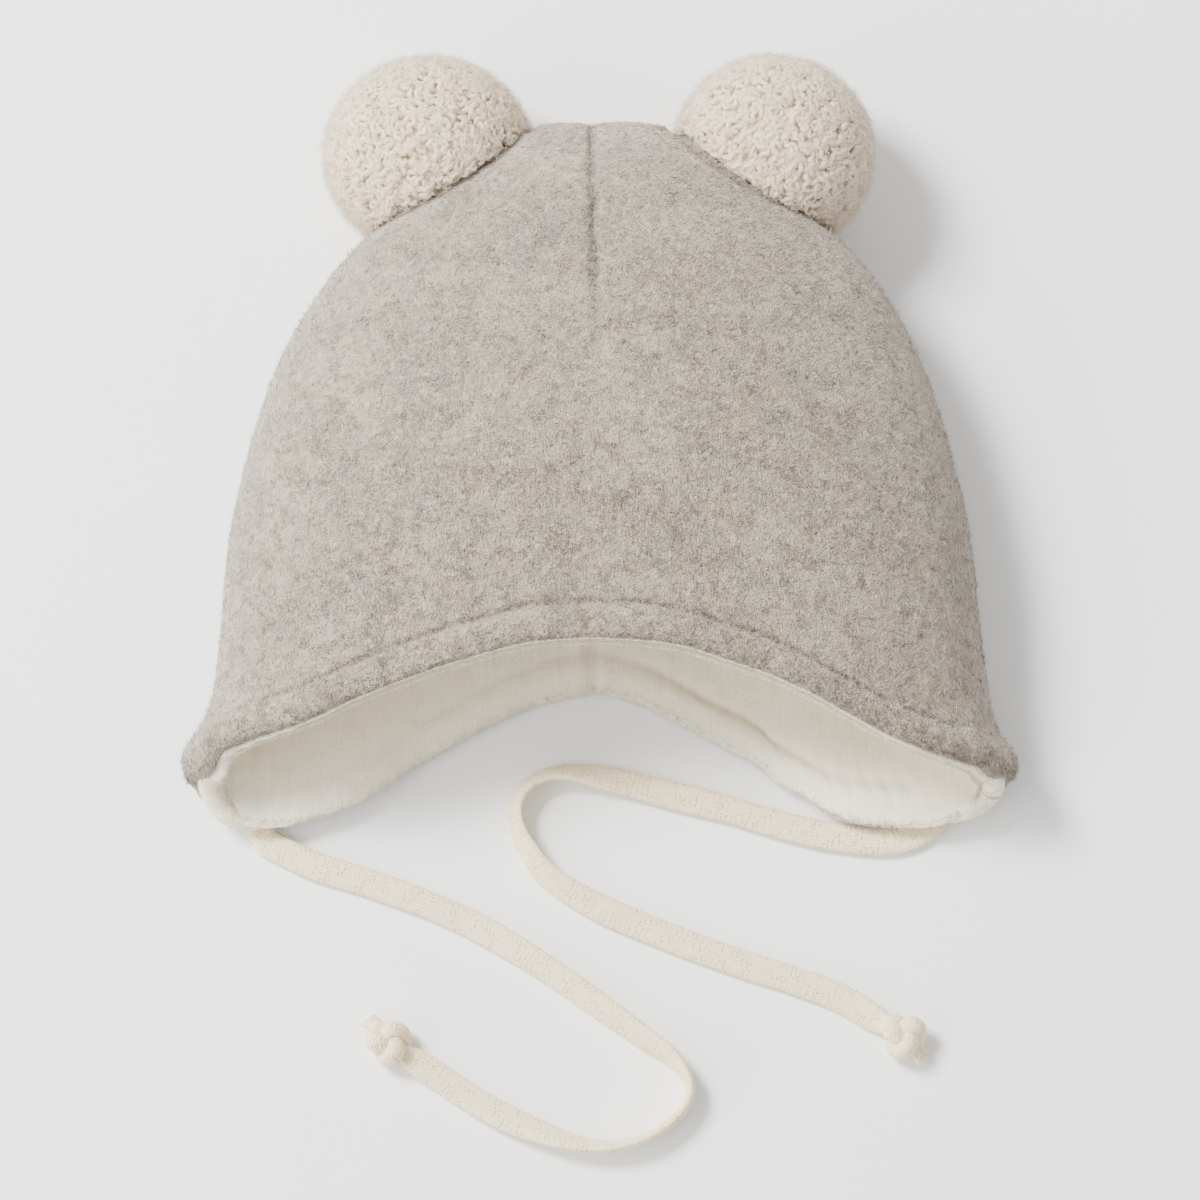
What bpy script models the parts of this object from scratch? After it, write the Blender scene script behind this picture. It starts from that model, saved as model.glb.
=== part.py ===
"""A baby's hat with two pompom ears and two knitted ties, lying on its back panel.

Metres. X runs across the hat, Y towards the crown and Z up from the surface that it lies on. The
origin is on the flat of the back panel.
"""

import math
from collections import namedtuple

import bmesh
import bpy
import numpy as np
from mathutils import Matrix, Vector

# The hat's own sizes: reaches are measured from the origin along Y.
CROWN_REACH = 0.0708
CORNER_REACH = 0.0820
BODY_WIDTH = 0.1760
FRONT_HEIGHT = 0.0560
FOLD_HEIGHT = 0.0200
FRONT_ARCH = 0.0248
BACK_ARCH = 0.0216
FLAP_DROP = 0.0110

# Cloth walls, the space between them, and how far the lining shows past the wool.
SHELL_WALL = 0.0018
LINING_WALL = 0.0015
GAP = 0.0003
LINING_LIP = 0.0012

# The turned hem, the dart at the centre of the front, and the lift of each flap over its tie.
HEM_WIDTH = 0.0080
HEM_DENT = 0.0007
DART_LENGTH = 0.0480
DART_DENT = 0.0014
FLAP_LIFT_LENGTH = 0.0220

# Ears. The seat is how far an ear's middle stands off the side seam.
EAR_DIAMETER = 0.0480
EAR_HEIGHT = 0.0400
EAR_SEAT = 0.0084
EAR_FLOOR_CLEARANCE = 0.0012
LOCK_DEPTH = 0.0026
LOCK_COUNT = 80
LOCK_SPREAD = 0.6
BALL_TURN = math.radians(40)

# Ties and the knots at their ends.
TIE_WIDTH = 0.0066
TIE_THICKNESS = 0.0026
TIE_FLOOR_CLEARANCE = 0.0001
TIE_STEP = 0.0060
STEPS_BETWEEN_STOPS = 12
KNOT_DIAMETER = 0.0094
KNOT_TAIL_LENGTH = 0.0046
KNOT_TAIL_WIDTH = 0.0046
KNOT_TAIL_TAPER = 0.8
KNOT_TAIL_TURN = math.radians(-15)

# Turns of the columns from the side fold up to the middle of the front, and down to that of the back.
FRONT_TURNS = [0, 8, 17, 27, 38, 50, 62, 74, 84, 90]
BACK_TURNS = [0, 9, 18, 28, 38, 49, 60, 71, 82, 90]
FLAT_TURN = 48

# Sections from the brim's corner to the crown. along is a share of that length, left and right are
# shares of half the body's width, front is a share of the front's height, and fold and back are
# shares of the side fold's height.
Section = namedtuple("Section", "along left right front fold back")
SECTIONS = [
    Section(0.000, 1.106, 1.109, 0.857, 0.60, 0.00),
    Section(0.045, 1.093, 1.072, 0.866, 0.65, 0.00),
    Section(0.076, 1.058, 1.043, 0.875, 0.68, 0.00),
    Section(0.107, 1.029, 1.034, 0.885, 0.72, 0.00),
    Section(0.177, 1.012, 1.016, 0.910, 0.77, 0.00),
    Section(0.259, 1.000, 1.000, 0.940, 0.85, 0.00),
    Section(0.352, 0.987, 0.987, 0.975, 0.90, 0.00),
    Section(0.444, 0.954, 0.952, 0.995, 0.93, 0.00),
    Section(0.537, 0.912, 0.912, 1.000, 0.95, 0.00),
    Section(0.630, 0.856, 0.856, 0.985, 1.00, 0.00),
    Section(0.724, 0.765, 0.772, 0.950, 1.05, 0.00),
    Section(0.815, 0.640, 0.650, 0.890, 1.10, 0.02),
    Section(0.894, 0.465, 0.470, 0.800, 1.15, 0.10),
    Section(0.944, 0.335, 0.340, 0.700, 1.20, 0.30),
    Section(0.985, 0.200, 0.200, 0.575, 1.22, 0.65),
    Section(0.998, 0.090, 0.090, 0.495, 1.24, 0.95),
    Section(1.000, 0.000, 0.000, 0.443, 1.24, 1.24),
]
FIRST_FLAT_SECTION = 7
EAR_SECTION = 12
EAR_PLACE = 0.45
SIDE_ROWS = 4

# The brim's edge. across is a share of half its width. The others are shares of the front arch, or
# of the back arch where they are above the corner and of the flap's drop where they are below it.
Edge = namedtuple("Edge", "across front_left front_right back_left back_right")
BRIM = [
    Edge(0.00, 1.000, 1.000, 1.000, 1.000),
    Edge(0.10, 0.988, 0.978, 0.926, 0.866),
    Edge(0.20, 0.942, 0.928, 0.787, 0.648),
    Edge(0.30, 0.841, 0.812, 0.574, 0.402),
    Edge(0.40, 0.733, 0.690, 0.324, 0.155),
    Edge(0.50, 0.603, 0.531, 0.055, -0.300),
    Edge(0.60, 0.466, 0.336, -0.482, -0.820),
    Edge(0.70, 0.307, 0.156, -0.800, -0.985),
    Edge(0.80, 0.199, 0.026, -0.980, -0.990),
    Edge(0.87, 0.134, -0.032, -0.980, -0.880),
    Edge(0.93, 0.069, -0.054, -0.830, -0.665),
    Edge(0.97, 0.033, -0.032, -0.480, -0.455),
    Edge(1.00, 0.000, 0.000, 0.000, 0.000),
]
FLAP_INNER = 0.40
FLAP_FULL = 0.65

# Routes of the ties on the surface, from under the flap to the knot: x, y, and the roll on edge.
Stop = namedtuple("Stop", "x y roll")
LEFT_ROUTE = [
    Stop(-0.0790, -0.0885, 0),
    Stop(-0.0795, -0.0935, 0),
    Stop(-0.0780, -0.0970, 2),
    Stop(-0.0730, -0.0998, 4),
    Stop(-0.0660, -0.1030, 4),
    Stop(-0.0566, -0.1059, 4),
    Stop(-0.0470, -0.1092, 2),
    Stop(-0.0374, -0.1130, 2),
    Stop(-0.0302, -0.1163, 4),
    Stop(-0.0194, -0.1226, 20),
    Stop(-0.0098, -0.1288, 28),
    Stop(0.0000, -0.1358, 34),
    Stop(0.0096, -0.1428, 46),
    Stop(0.0166, -0.1480, 68),
    Stop(0.0205, -0.1532, 86),
    Stop(0.0205, -0.1578, 90),
    Stop(0.0166, -0.1630, 88),
    Stop(0.0096, -0.1671, 82),
    Stop(0.0012, -0.1686, 72),
    Stop(-0.0073, -0.1674, 54),
    Stop(-0.0194, -0.1629, 18),
    Stop(-0.0290, -0.1578, 6),
    Stop(-0.0386, -0.1514, 10),
    Stop(-0.0452, -0.1470, 26),
]
RIGHT_ROUTE = [
    Stop(0.0800, -0.0885, 0),
    Stop(0.0775, -0.0930, 0),
    Stop(0.0715, -0.0962, 0),
    Stop(0.0636, -0.0968, 2),
    Stop(0.0515, -0.0952, 4),
    Stop(0.0395, -0.0921, 4),
    Stop(0.0288, -0.0888, 4),
    Stop(0.0154, -0.0855, 4),
    Stop(0.0035, -0.0824, 24),
    Stop(-0.0084, -0.0807, 58),
    Stop(-0.0157, -0.0828, 66),
    Stop(-0.0194, -0.0878, 70),
    Stop(-0.0194, -0.0933, 68),
    Stop(-0.0168, -0.0991, 58),
    Stop(-0.0122, -0.1052, 40),
    Stop(-0.0026, -0.1114, 20),
    Stop(0.0096, -0.1169, 8),
    Stop(0.0215, -0.1216, 6),
    Stop(0.0335, -0.1259, 4),
    Stop(0.0456, -0.1298, 6),
    Stop(0.0564, -0.1341, 12),
    Stop(0.0666, -0.1405, 26),
]

WOOL = (0.42, 0.37, 0.33, 1.0)
FLEECE = (0.60, 0.55, 0.48, 1.0)
PILE = (0.68, 0.60, 0.52, 1.0)
KNIT = (0.69, 0.61, 0.52, 1.0)


def clear_scene():
    """Remove every object of the open file."""
    for old in list(bpy.data.objects):
        bpy.data.objects.remove(old, do_unlink=True)


def new_collection(name):
    """Return a new collection in the scene."""
    made = bpy.data.collections.new(name)
    bpy.context.scene.collection.children.link(made)
    return made


def cloth(name, color, roughness):
    """Return a Principled material for cloth."""
    material = bpy.data.materials.new(name)
    material.use_nodes = True
    shader = material.node_tree.nodes["Principled BSDF"]
    shader.inputs["Base Color"].default_value = color
    shader.inputs["Roughness"].default_value = roughness
    shader.inputs["Metallic"].default_value = 0.0
    material.diffuse_color = color
    return material


def add_mesh(name, bm, material, collection):
    """Turn a bmesh into an object with its material."""
    mesh = bpy.data.meshes.new(name)
    bm.to_mesh(mesh)
    bm.free()
    made = bpy.data.objects.new(name, mesh)
    if material:
        mesh.materials.append(material)
    collection.objects.link(made)
    return made


def read(table, key, name, at):
    """Return a column of a table, read smoothly at a value of its key column."""
    keys = np.array([getattr(row, key) for row in table])
    values = np.array([getattr(row, name) for row in table])
    slopes = np.gradient(values, keys)
    place = int(np.clip(np.searchsorted(keys, at, side="right") - 1, 0, len(keys) - 2))
    span = keys[place + 1] - keys[place]
    t = (at - keys[place]) / span
    start = (2 * t**3 - 3 * t**2 + 1) * values[place]
    start += (t**3 - 2 * t**2 + t) * span * slopes[place]
    end = (3 * t**2 - 2 * t**3) * values[place + 1]
    end += (t**3 - t**2) * span * slopes[place + 1]
    return float(start + end)


def fade(distance, width):
    """Return 1 at no distance and 0 from the width on, with a smooth run between."""
    share = min(1.0, max(0.0, distance) / width)
    return 0.5 + 0.5 * math.cos(math.pi * share)


def column_turns():
    """Return the angle of each column round the hat, from the right fold over the front."""
    front = FRONT_TURNS + [180 - turn for turn in reversed(FRONT_TURNS[:-1])]
    back = [-turn for turn in BACK_TURNS[1:-1]]
    back += [-90] + [-180 + turn for turn in reversed(BACK_TURNS[1:-1])]
    return [math.radians(turn) for turn in front + list(reversed(back))]


def brim_y(turn):
    """Return how far along Y the brim's edge lies in a column."""
    across = abs(math.cos(turn))
    side = "right" if math.cos(turn) > 0 else "left"
    if math.sin(turn) >= 0:
        return -CORNER_REACH + FRONT_ARCH * read(BRIM, "across", "front_" + side, across)
    share = read(BRIM, "across", "back_" + side, across)
    return -CORNER_REACH + share * (BACK_ARCH if share > 0 else FLAP_DROP)


def section_point(turn, y, share, from_edge):
    """Return the point of a column at a place along Y, on the section at a share of the length."""
    across = math.cos(turn)
    side = "right" if across > 0 else "left"
    x = 0.5 * BODY_WIDTH * read(SECTIONS, "along", side, share) * across
    fold = FOLD_HEIGHT * read(SECTIONS, "along", "fold", share)
    front = FRONT_HEIGHT * read(SECTIONS, "along", "front", share)
    if math.sin(turn) >= 0:
        return Vector((x, y, fold + (front - fold) * math.sin(turn)))
    low = FOLD_HEIGHT * max(0.0, read(SECTIONS, "along", "back", share))
    low += flap_lift(abs(across), from_edge)
    drop = math.sin(min(1.0, -math.degrees(turn_below(turn)) / FLAT_TURN) * math.pi / 2)
    return Vector((x, y, low + (fold - low) * (1 - drop)))


def turn_below(turn):
    """Return the angle of a lower column under the nearer side fold, from 0 down to -90 degrees."""
    return -math.asin(min(1.0, -math.sin(turn)))


def flap_lift(across, from_edge):
    """Return how far a flap is lifted by the tie that is sewn under it."""
    height = TIE_FLOOR_CLEARANCE + TIE_THICKNESS + GAP
    on_flap = fade(FLAP_FULL - across, FLAP_FULL - FLAP_INNER)
    return height * on_flap * fade(from_edge - HEM_WIDTH, FLAP_LIFT_LENGTH)


def shell_rows():
    """Return the outer face of the hat as rows of points from the brim to the last small ring."""
    turns = column_turns()
    length = CROWN_REACH + CORNER_REACH
    corner = brim_y(0.0)
    flat_y = -CORNER_REACH + SECTIONS[FIRST_FLAT_SECTION].along * length
    hem = [0.0, 0.5 * HEM_WIDTH, HEM_WIDTH, 1.5 * HEM_WIDTH]
    rows = []
    for distance in hem:
        share = (corner + distance + CORNER_REACH) / length
        rows.append([section_point(turn, brim_y(turn) + distance, share, distance) for turn in turns])
    for step in range(1, SIDE_ROWS + 1):
        mix = step / (SIDE_ROWS + 1)
        row = []
        share = (corner + hem[-1] + (flat_y - corner - hem[-1]) * mix + CORNER_REACH) / length
        for turn in turns:
            start = brim_y(turn) + hem[-1]
            y = start + (flat_y - start) * mix
            row.append(section_point(turn, y, share, y - brim_y(turn)))
        rows.append(row)
    for section in SECTIONS[FIRST_FLAT_SECTION:-1]:
        y = -CORNER_REACH + section.along * length
        rows.append([section_point(turn, y, section.along, length) for turn in turns])
    return rows


def crown_tip():
    """Return the point where the columns meet at the crown."""
    return Vector((0.0, CROWN_REACH, FRONT_HEIGHT * SECTIONS[-1].front))


def hat_surface(inset=0.0, lip=0.0):
    """Return the hat's open surface as a bmesh, moved inwards along its own normals."""
    bm = bmesh.new()
    rows = [[bm.verts.new(point) for point in row] for row in shell_rows()]
    tip = bm.verts.new(crown_tip())
    count = len(rows[0])
    for lower, upper in zip(rows, rows[1:]):
        for place in range(count):
            after = (place + 1) % count
            bm.faces.new((lower[after], lower[place], upper[place], upper[after]))
    for place in range(count):
        bm.faces.new((rows[-1][(place + 1) % count], rows[-1][place], tip))
    bm.normal_update()
    dent(rows, tip)
    bm.normal_update()
    for vert, normal in [(vert, vert.normal.copy()) for vert in bm.verts]:
        vert.co -= normal * inset
    if lip:
        outwards = [(edge, (edge.co - after.co).normalized()) for edge, after in zip(rows[0], rows[1])]
        for edge, direction in outwards:
            edge.co += direction * lip
    for face in bm.faces:
        face.smooth = True
    return bm


def dent(rows, tip):
    """Press the stitched hem and the dart into the front of the surface."""
    turns = column_turns()
    moves = []
    for vert, turn in zip(rows[2], turns):
        if math.sin(turn) > 0:
            moves.append((vert, HEM_DENT * math.sin(turn)))
    middle = min(range(len(turns)), key=lambda place: abs(turns[place] - math.pi / 2))
    for row in rows:
        vert = row[middle]
        moves.append((vert, DART_DENT * fade(tip.co.y - vert.co.y, DART_LENGTH)))
    for vert, depth in moves:
        vert.co -= vert.normal * depth


def wall(name, bm, thickness, material, collection):
    """Give an open surface its thickness, inwards."""
    made = add_mesh(name, bm, material, collection)
    solid = made.modifiers.new("Wall", "SOLIDIFY")
    solid.thickness = thickness
    solid.offset = -1.0
    return made


def crown_blank(collection):
    """Return the hat as a closed body, a gap larger than its outside, to seat the ears on."""
    bm = hat_surface(inset=-GAP)
    edges = [edge for edge in bm.edges if edge.is_boundary]
    bmesh.ops.holes_fill(bm, edges=edges)
    bmesh.ops.triangulate(bm, faces=[face for face in bm.faces if len(face.verts) > 4])
    bmesh.ops.recalc_face_normals(bm, faces=bm.faces)
    made = add_mesh("crown_blank", bm, None, collection)
    made.hide_render = True
    made.display_type = "WIRE"
    return made


def lock_directions():
    """Return the directions of an ear's locks, on a spiral round the ball."""
    golden = math.pi * (3 - math.sqrt(5))
    directions = []
    for place in range(LOCK_COUNT):
        height = 1 - 2 * (place + 0.5) / LOCK_COUNT
        across = math.sqrt(1 - height * height)
        turn = golden * place
        directions.append((across * math.cos(turn), across * math.sin(turn), height))
    return np.array(directions)


def ear_middle(side):
    """Return the middle of an ear, off the side seam at its own section; side is -1 or 1."""
    turn = 0.0 if side > 0 else math.pi
    seam = []
    for section in SECTIONS[EAR_SECTION : EAR_SECTION + 2]:
        y = -CORNER_REACH + section.along * (CROWN_REACH + CORNER_REACH)
        seam.append(section_point(turn, y, section.along, CROWN_REACH))
    along = (seam[1] - seam[0]).to_2d().normalized()
    outwards = Vector((along.y, -along.x)) * side
    foot = seam[0].lerp(seam[1], EAR_PLACE).to_2d()
    middle = foot + outwards * EAR_SEAT
    return Vector((middle.x, middle.y, EAR_FLOOR_CLEARANCE + 0.5 * EAR_HEIGHT))


def ear(side_name, side, blank, material, collection):
    """Make one pompom ear: a ball gathered into locks, pressed on to the crown."""
    bm = bmesh.new()
    bmesh.ops.create_icosphere(bm, subdivisions=4, radius=1.0)
    locks = lock_directions()
    reach = LOCK_SPREAD * math.sqrt(4 * math.pi / LOCK_COUNT)
    depth = 2 * LOCK_DEPTH / EAR_DIAMETER
    turn = Matrix.Rotation(side * BALL_TURN, 3, "Z") @ Matrix.Rotation(BALL_TURN, 3, "X")
    for vert in bm.verts:
        direction = turn @ vert.co
        angle = math.acos(min(1.0, float(np.max(locks @ np.array(direction)))))
        vert.co *= 1 - depth * min(1.0, angle / reach) ** 2
    size = Matrix.Diagonal((0.5 * EAR_DIAMETER, 0.5 * EAR_DIAMETER, 0.5 * EAR_HEIGHT, 1.0))
    bmesh.ops.transform(bm, matrix=Matrix.Translation(ear_middle(side)) @ size, verts=bm.verts)
    for face in bm.faces:
        face.smooth = True
    made = add_mesh("ear_" + side_name, bm, material, collection)
    seat = made.modifiers.new("Seat", "BOOLEAN")
    seat.operation = "DIFFERENCE"
    seat.object = blank
    return made


def tie_points(route):
    """Return points and rolls at even steps along the smooth curve through a route."""
    stops = [Vector((stop.x, stop.y, stop.roll)) for stop in route]
    ends = [stops[0] * 2 - stops[1]] + stops + [stops[-1] * 2 - stops[-2]]
    fine = []
    for before, start, end, after in zip(ends, ends[1:], ends[2:], ends[3:]):
        for step in range(STEPS_BETWEEN_STOPS):
            t = step / STEPS_BETWEEN_STOPS
            bend = (before * -1 + start * 3 - end * 3 + after) * t**3
            bend += (before * 2 - start * 5 + end * 4 - after) * t**2
            fine.append((bend + (end - before) * t) * 0.5 + start)
    fine.append(stops[-1])
    lengths = [0.0]
    for start, end in zip(fine, fine[1:]):
        lengths.append(lengths[-1] + (end - start).to_2d().length)
    count = round(lengths[-1] / TIE_STEP)
    even = [lengths[-1] * place / count for place in range(count + 1)]
    columns = [np.interp(even, lengths, [point[axis] for point in fine]) for axis in range(3)]
    points = []
    for x, y, roll in zip(*columns):
        roll = math.radians(max(0.0, float(roll)))
        half = 0.5 * (TIE_WIDTH - TIE_THICKNESS) * math.sin(roll)
        height = TIE_FLOOR_CLEARANCE + 0.5 * TIE_THICKNESS + half
        points.append((Vector((x, y, height)), roll))
    return points


def tie(side_name, route, material, collection):
    """Make one tie as a flat band that rolls on edge in its tight bends."""
    curve = bpy.data.curves.new("tie_" + side_name, "CURVE")
    curve.dimensions = "3D"
    curve.twist_mode = "Z_UP"
    curve.bevel_depth = 0.5 * TIE_THICKNESS
    curve.extrude = 0.5 * (TIE_WIDTH - TIE_THICKNESS)
    curve.bevel_resolution = 1
    curve.use_fill_caps = True
    points = tie_points(route)
    spline = curve.splines.new("POLY")
    spline.points.add(len(points) - 1)
    for target, (place, roll) in zip(spline.points, points):
        target.co = (*place, 1.0)
        target.tilt = math.pi / 2 - roll
    made = bpy.data.objects.new("tie_" + side_name, curve)
    curve.materials.append(material)
    collection.objects.link(made)
    return made


def knot(side_name, route, material, collection, cutters):
    """Make the knot at the end of a tie, with its short tail."""
    points = tie_points(route)
    end = points[-1][0]
    heading = (end - points[-2][0]).to_2d().normalized()
    radius = 0.5 * KNOT_DIAMETER
    middle = Vector((*(end.to_2d() + heading * (radius + GAP)), radius + TIE_FLOOR_CLEARANCE))
    ball = bmesh.new()
    place = Matrix.Translation(middle)
    bmesh.ops.create_uvsphere(ball, u_segments=12, v_segments=8, radius=radius, matrix=place)
    made = add_mesh("knot_" + side_name, ball, material, collection)
    tail = knot_tail(side_name, middle, heading, cutters)
    joined = made.modifiers.new("Tail", "BOOLEAN")
    joined.operation = "UNION"
    joined.object = tail
    return made


def knot_tail(side_name, middle, heading, collection):
    """Return the tail of a knot as a tapered rod that comes down to the surface."""
    thick = 0.5 * KNOT_TAIL_WIDTH
    thin = KNOT_TAIL_TAPER * thick
    reach = 0.5 * KNOT_DIAMETER + KNOT_TAIL_LENGTH
    turned = Matrix.Rotation(KNOT_TAIL_TURN, 2) @ heading
    tip = Vector((*(middle.to_2d() + turned * reach), thin + 2 * TIE_FLOOR_CLEARANCE))
    run = tip - middle
    facing = run.to_track_quat("Z", "Y").to_matrix().to_4x4()
    place = Matrix.Translation(middle + run * 0.5) @ facing
    rod = bmesh.new()
    bmesh.ops.create_cone(
        rod, cap_ends=True, segments=8, radius1=thick, radius2=thin, depth=run.length, matrix=place
    )
    made = add_mesh("tail_" + side_name, rod, None, collection)
    made.hide_render = True
    made.display_type = "WIRE"
    return made


def main():
    """Build the hat and lay out its pieces."""
    clear_scene()
    hat = new_collection("baby_hat_with_ears")
    cutters = new_collection("cutters")
    fleece = cloth("fleece", FLEECE, 0.95)
    wall("outer_shell", hat_surface(), SHELL_WALL, cloth("wool", WOOL, 0.95), hat)
    inset = SHELL_WALL + GAP
    wall("lining", hat_surface(inset, LINING_LIP), LINING_WALL, fleece, hat)
    blank = crown_blank(cutters)
    for side_name, side, route in (("left", -1, LEFT_ROUTE), ("right", 1, RIGHT_ROUTE)):
        ear(side_name, side, blank, cloth("pile_" + side_name, PILE, 1.0), hat)
        knit = cloth("knit_" + side_name, KNIT, 0.9)
        tie(side_name, route, knit, hat)
        knot(side_name, route, cloth("knot_knit_" + side_name, KNIT, 0.9), hat, cutters)


main()
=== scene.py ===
"""The scene of a baby's hat with two pile ears and two knitted ties, lying on its back panel.

Metres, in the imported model's own frame: X runs across the hat, Y towards the crown and Z up.
"""

from __future__ import annotations

import logging
import math
from dataclasses import dataclass
from enum import Enum, IntEnum

import bpy
import numpy as np
from mathutils import Matrix, Vector, noise
from mathutils.bvhtree import BVHTree


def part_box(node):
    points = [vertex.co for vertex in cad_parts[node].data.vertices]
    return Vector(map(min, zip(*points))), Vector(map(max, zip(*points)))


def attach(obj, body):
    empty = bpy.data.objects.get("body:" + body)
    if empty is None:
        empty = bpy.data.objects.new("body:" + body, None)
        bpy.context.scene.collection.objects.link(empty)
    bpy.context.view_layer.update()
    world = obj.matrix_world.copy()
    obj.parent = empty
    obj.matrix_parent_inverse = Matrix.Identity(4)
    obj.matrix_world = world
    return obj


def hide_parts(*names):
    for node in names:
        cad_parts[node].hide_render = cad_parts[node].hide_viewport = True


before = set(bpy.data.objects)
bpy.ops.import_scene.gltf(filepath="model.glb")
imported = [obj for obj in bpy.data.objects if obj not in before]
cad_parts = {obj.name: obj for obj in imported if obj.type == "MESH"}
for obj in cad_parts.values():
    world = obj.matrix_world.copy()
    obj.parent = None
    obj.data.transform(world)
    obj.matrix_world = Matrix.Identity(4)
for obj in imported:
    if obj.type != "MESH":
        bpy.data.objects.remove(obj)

LOG = logging.getLogger("baby_hat")
ROOT = "root"

Colour = tuple[int, int, int]
Place = tuple[float, float, float]

UP = np.array([0.0, 0.0, 1.0])


class Side(Enum):
    """The hat's two sides, as the viewer sees them."""

    LEFT = -1
    RIGHT = 1

    @property
    def word(self) -> str:
        """The side's name inside the names of pieces."""
        return self.name.lower()


class Slot(Enum):
    """The record's material slots."""

    WOOL = "wool"
    FLEECE = "fleece"
    PILE = "pile"
    KNIT = "knit"


def linear(colour: Colour) -> tuple[float, float, float, float]:
    """Turn a colour of 0 to 255 into the linear values of a shader socket.

    Args:
        colour: Red, green and blue as they show on a screen.

    Returns:
        Linear red, green and blue, and a full alpha.
    """
    shares = [value / 255 for value in colour]
    made = [s / 12.92 if s <= 0.04045 else ((s + 0.055) / 1.055) ** 2.4 for s in shares]
    return (made[0], made[1], made[2], 1.0)


def bell(distance: np.ndarray, width: float) -> np.ndarray:
    """Return 1 at no distance, falling off smoothly over a width."""
    return np.exp(-((distance / width) ** 2))


def ease(value: np.ndarray, low: float, high: float) -> np.ndarray:
    """Return 0 below low and 1 above high, with a smooth run between."""
    share = np.clip((value - low) / (high - low), 0.0, 1.0)
    return share * share * (3 - 2 * share)


def lumps(points: np.ndarray, size: float, shift: float = 0.0) -> np.ndarray:
    """Read smooth noise at many points.

    Args:
        points: Places, with their three coordinates last.
        size: The width of a lump in metres.
        shift: Moves the pattern, so that two readings differ.

    Returns:
        A value from about -1 to 1 for each point.
    """
    flat = points.reshape(-1, 3) / size + shift
    values = [noise.noise(Vector(place)) for place in flat.tolist()]
    return np.array(values).reshape(points.shape[:-1])


def line_lumps(run: np.ndarray, size: float, shift: float = 0.0) -> np.ndarray:
    """Read smooth noise along a line, at lengths in metres."""
    return lumps(np.stack([run, 0 * run, 0 * run], axis=-1), size, shift)


def rough(points: np.ndarray, *layers: tuple[float, float, float]) -> np.ndarray:
    """Add up smooth noise of several sizes; each layer is a size, a shift and a strength."""
    return sum(strength * lumps(points, size, shift) for size, shift, strength in layers)


def unit(ways: np.ndarray) -> np.ndarray:
    """Return directions, which have their coordinates last, with a length of 1."""
    return ways / np.linalg.norm(ways, axis=-1, keepdims=True)


def girth(sides: int) -> np.ndarray:
    """Return the angles once round a tube; the last one closes it."""
    return np.linspace(0.0, 2 * math.pi, sides + 1)


def capped(rings: np.ndarray, line: np.ndarray) -> np.ndarray:
    """Close the rings of a tube with a point at each end of its middle line."""
    ends = line[[0, -1], None].repeat(rings.shape[1], axis=1)
    return np.concatenate([ends[:1], rings, ends[1:]])


def flow(stops: np.ndarray, reads: int) -> np.ndarray:
    """Run a smooth curve through stops.

    Args:
        stops: The stops, one in each row.
        reads: How many points to lay between two stops.

    Returns:
        The points of the curve.
    """
    ends = np.vstack([2 * stops[0] - stops[1], stops, 2 * stops[-1] - stops[-2]])
    shares = (np.arange(reads) / reads)[:, None]
    fine = []
    for before, start, end, after in zip(ends, ends[1:], ends[2:], ends[3:]):
        bend = (3 * start - before - 3 * end + after) * shares**3
        bend = bend + (2 * before - 5 * start + 4 * end - after) * shares**2
        fine.append(0.5 * (bend + (end - before) * shares) + start)
    return np.vstack(fine + [stops[-1:]])


class Signal:
    """A shader socket whose arithmetic adds Math nodes."""

    def __init__(self, desk: Desk, socket: bpy.types.NodeSocket) -> None:
        """Keep the socket and the desk that it lies on."""
        self.desk = desk
        self.socket = socket

    def __add__(self, other: Signal | float) -> Signal:
        """Add."""
        return self.desk.math("ADD", self, other)

    def __radd__(self, other: float) -> Signal:
        """Add to a number."""
        return self.desk.math("ADD", other, self)

    def __sub__(self, other: Signal | float) -> Signal:
        """Subtract."""
        return self.desk.math("SUBTRACT", self, other)

    def __rsub__(self, other: float) -> Signal:
        """Subtract from a number."""
        return self.desk.math("SUBTRACT", other, self)

    def __mul__(self, other: Signal | float) -> Signal:
        """Multiply."""
        return self.desk.math("MULTIPLY", self, other)

    def __rmul__(self, other: float) -> Signal:
        """Multiply a number."""
        return self.desk.math("MULTIPLY", other, self)

    def step(self, low: float, high: float) -> Signal:
        """Run smoothly from 0 at low to 1 at high.

        Args:
            low: The value that gives 0.
            high: The value that gives 1.

        Returns:
            The new signal.
        """
        settings = {"interpolation_type": "SMOOTHSTEP"}
        made = self.desk.node("ShaderNodeMapRange", settings, {"Value": self, 1: low, 2: high})
        return Signal(self.desk, made.outputs[0])


@dataclass(frozen=True)
class Surface:
    """How a cloth takes light: its roughness, its relief's depth in metres, its nap and its glow."""

    roughness: float
    relief: float
    sheen: float
    tint: Colour
    glow: float = 0.0


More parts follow.
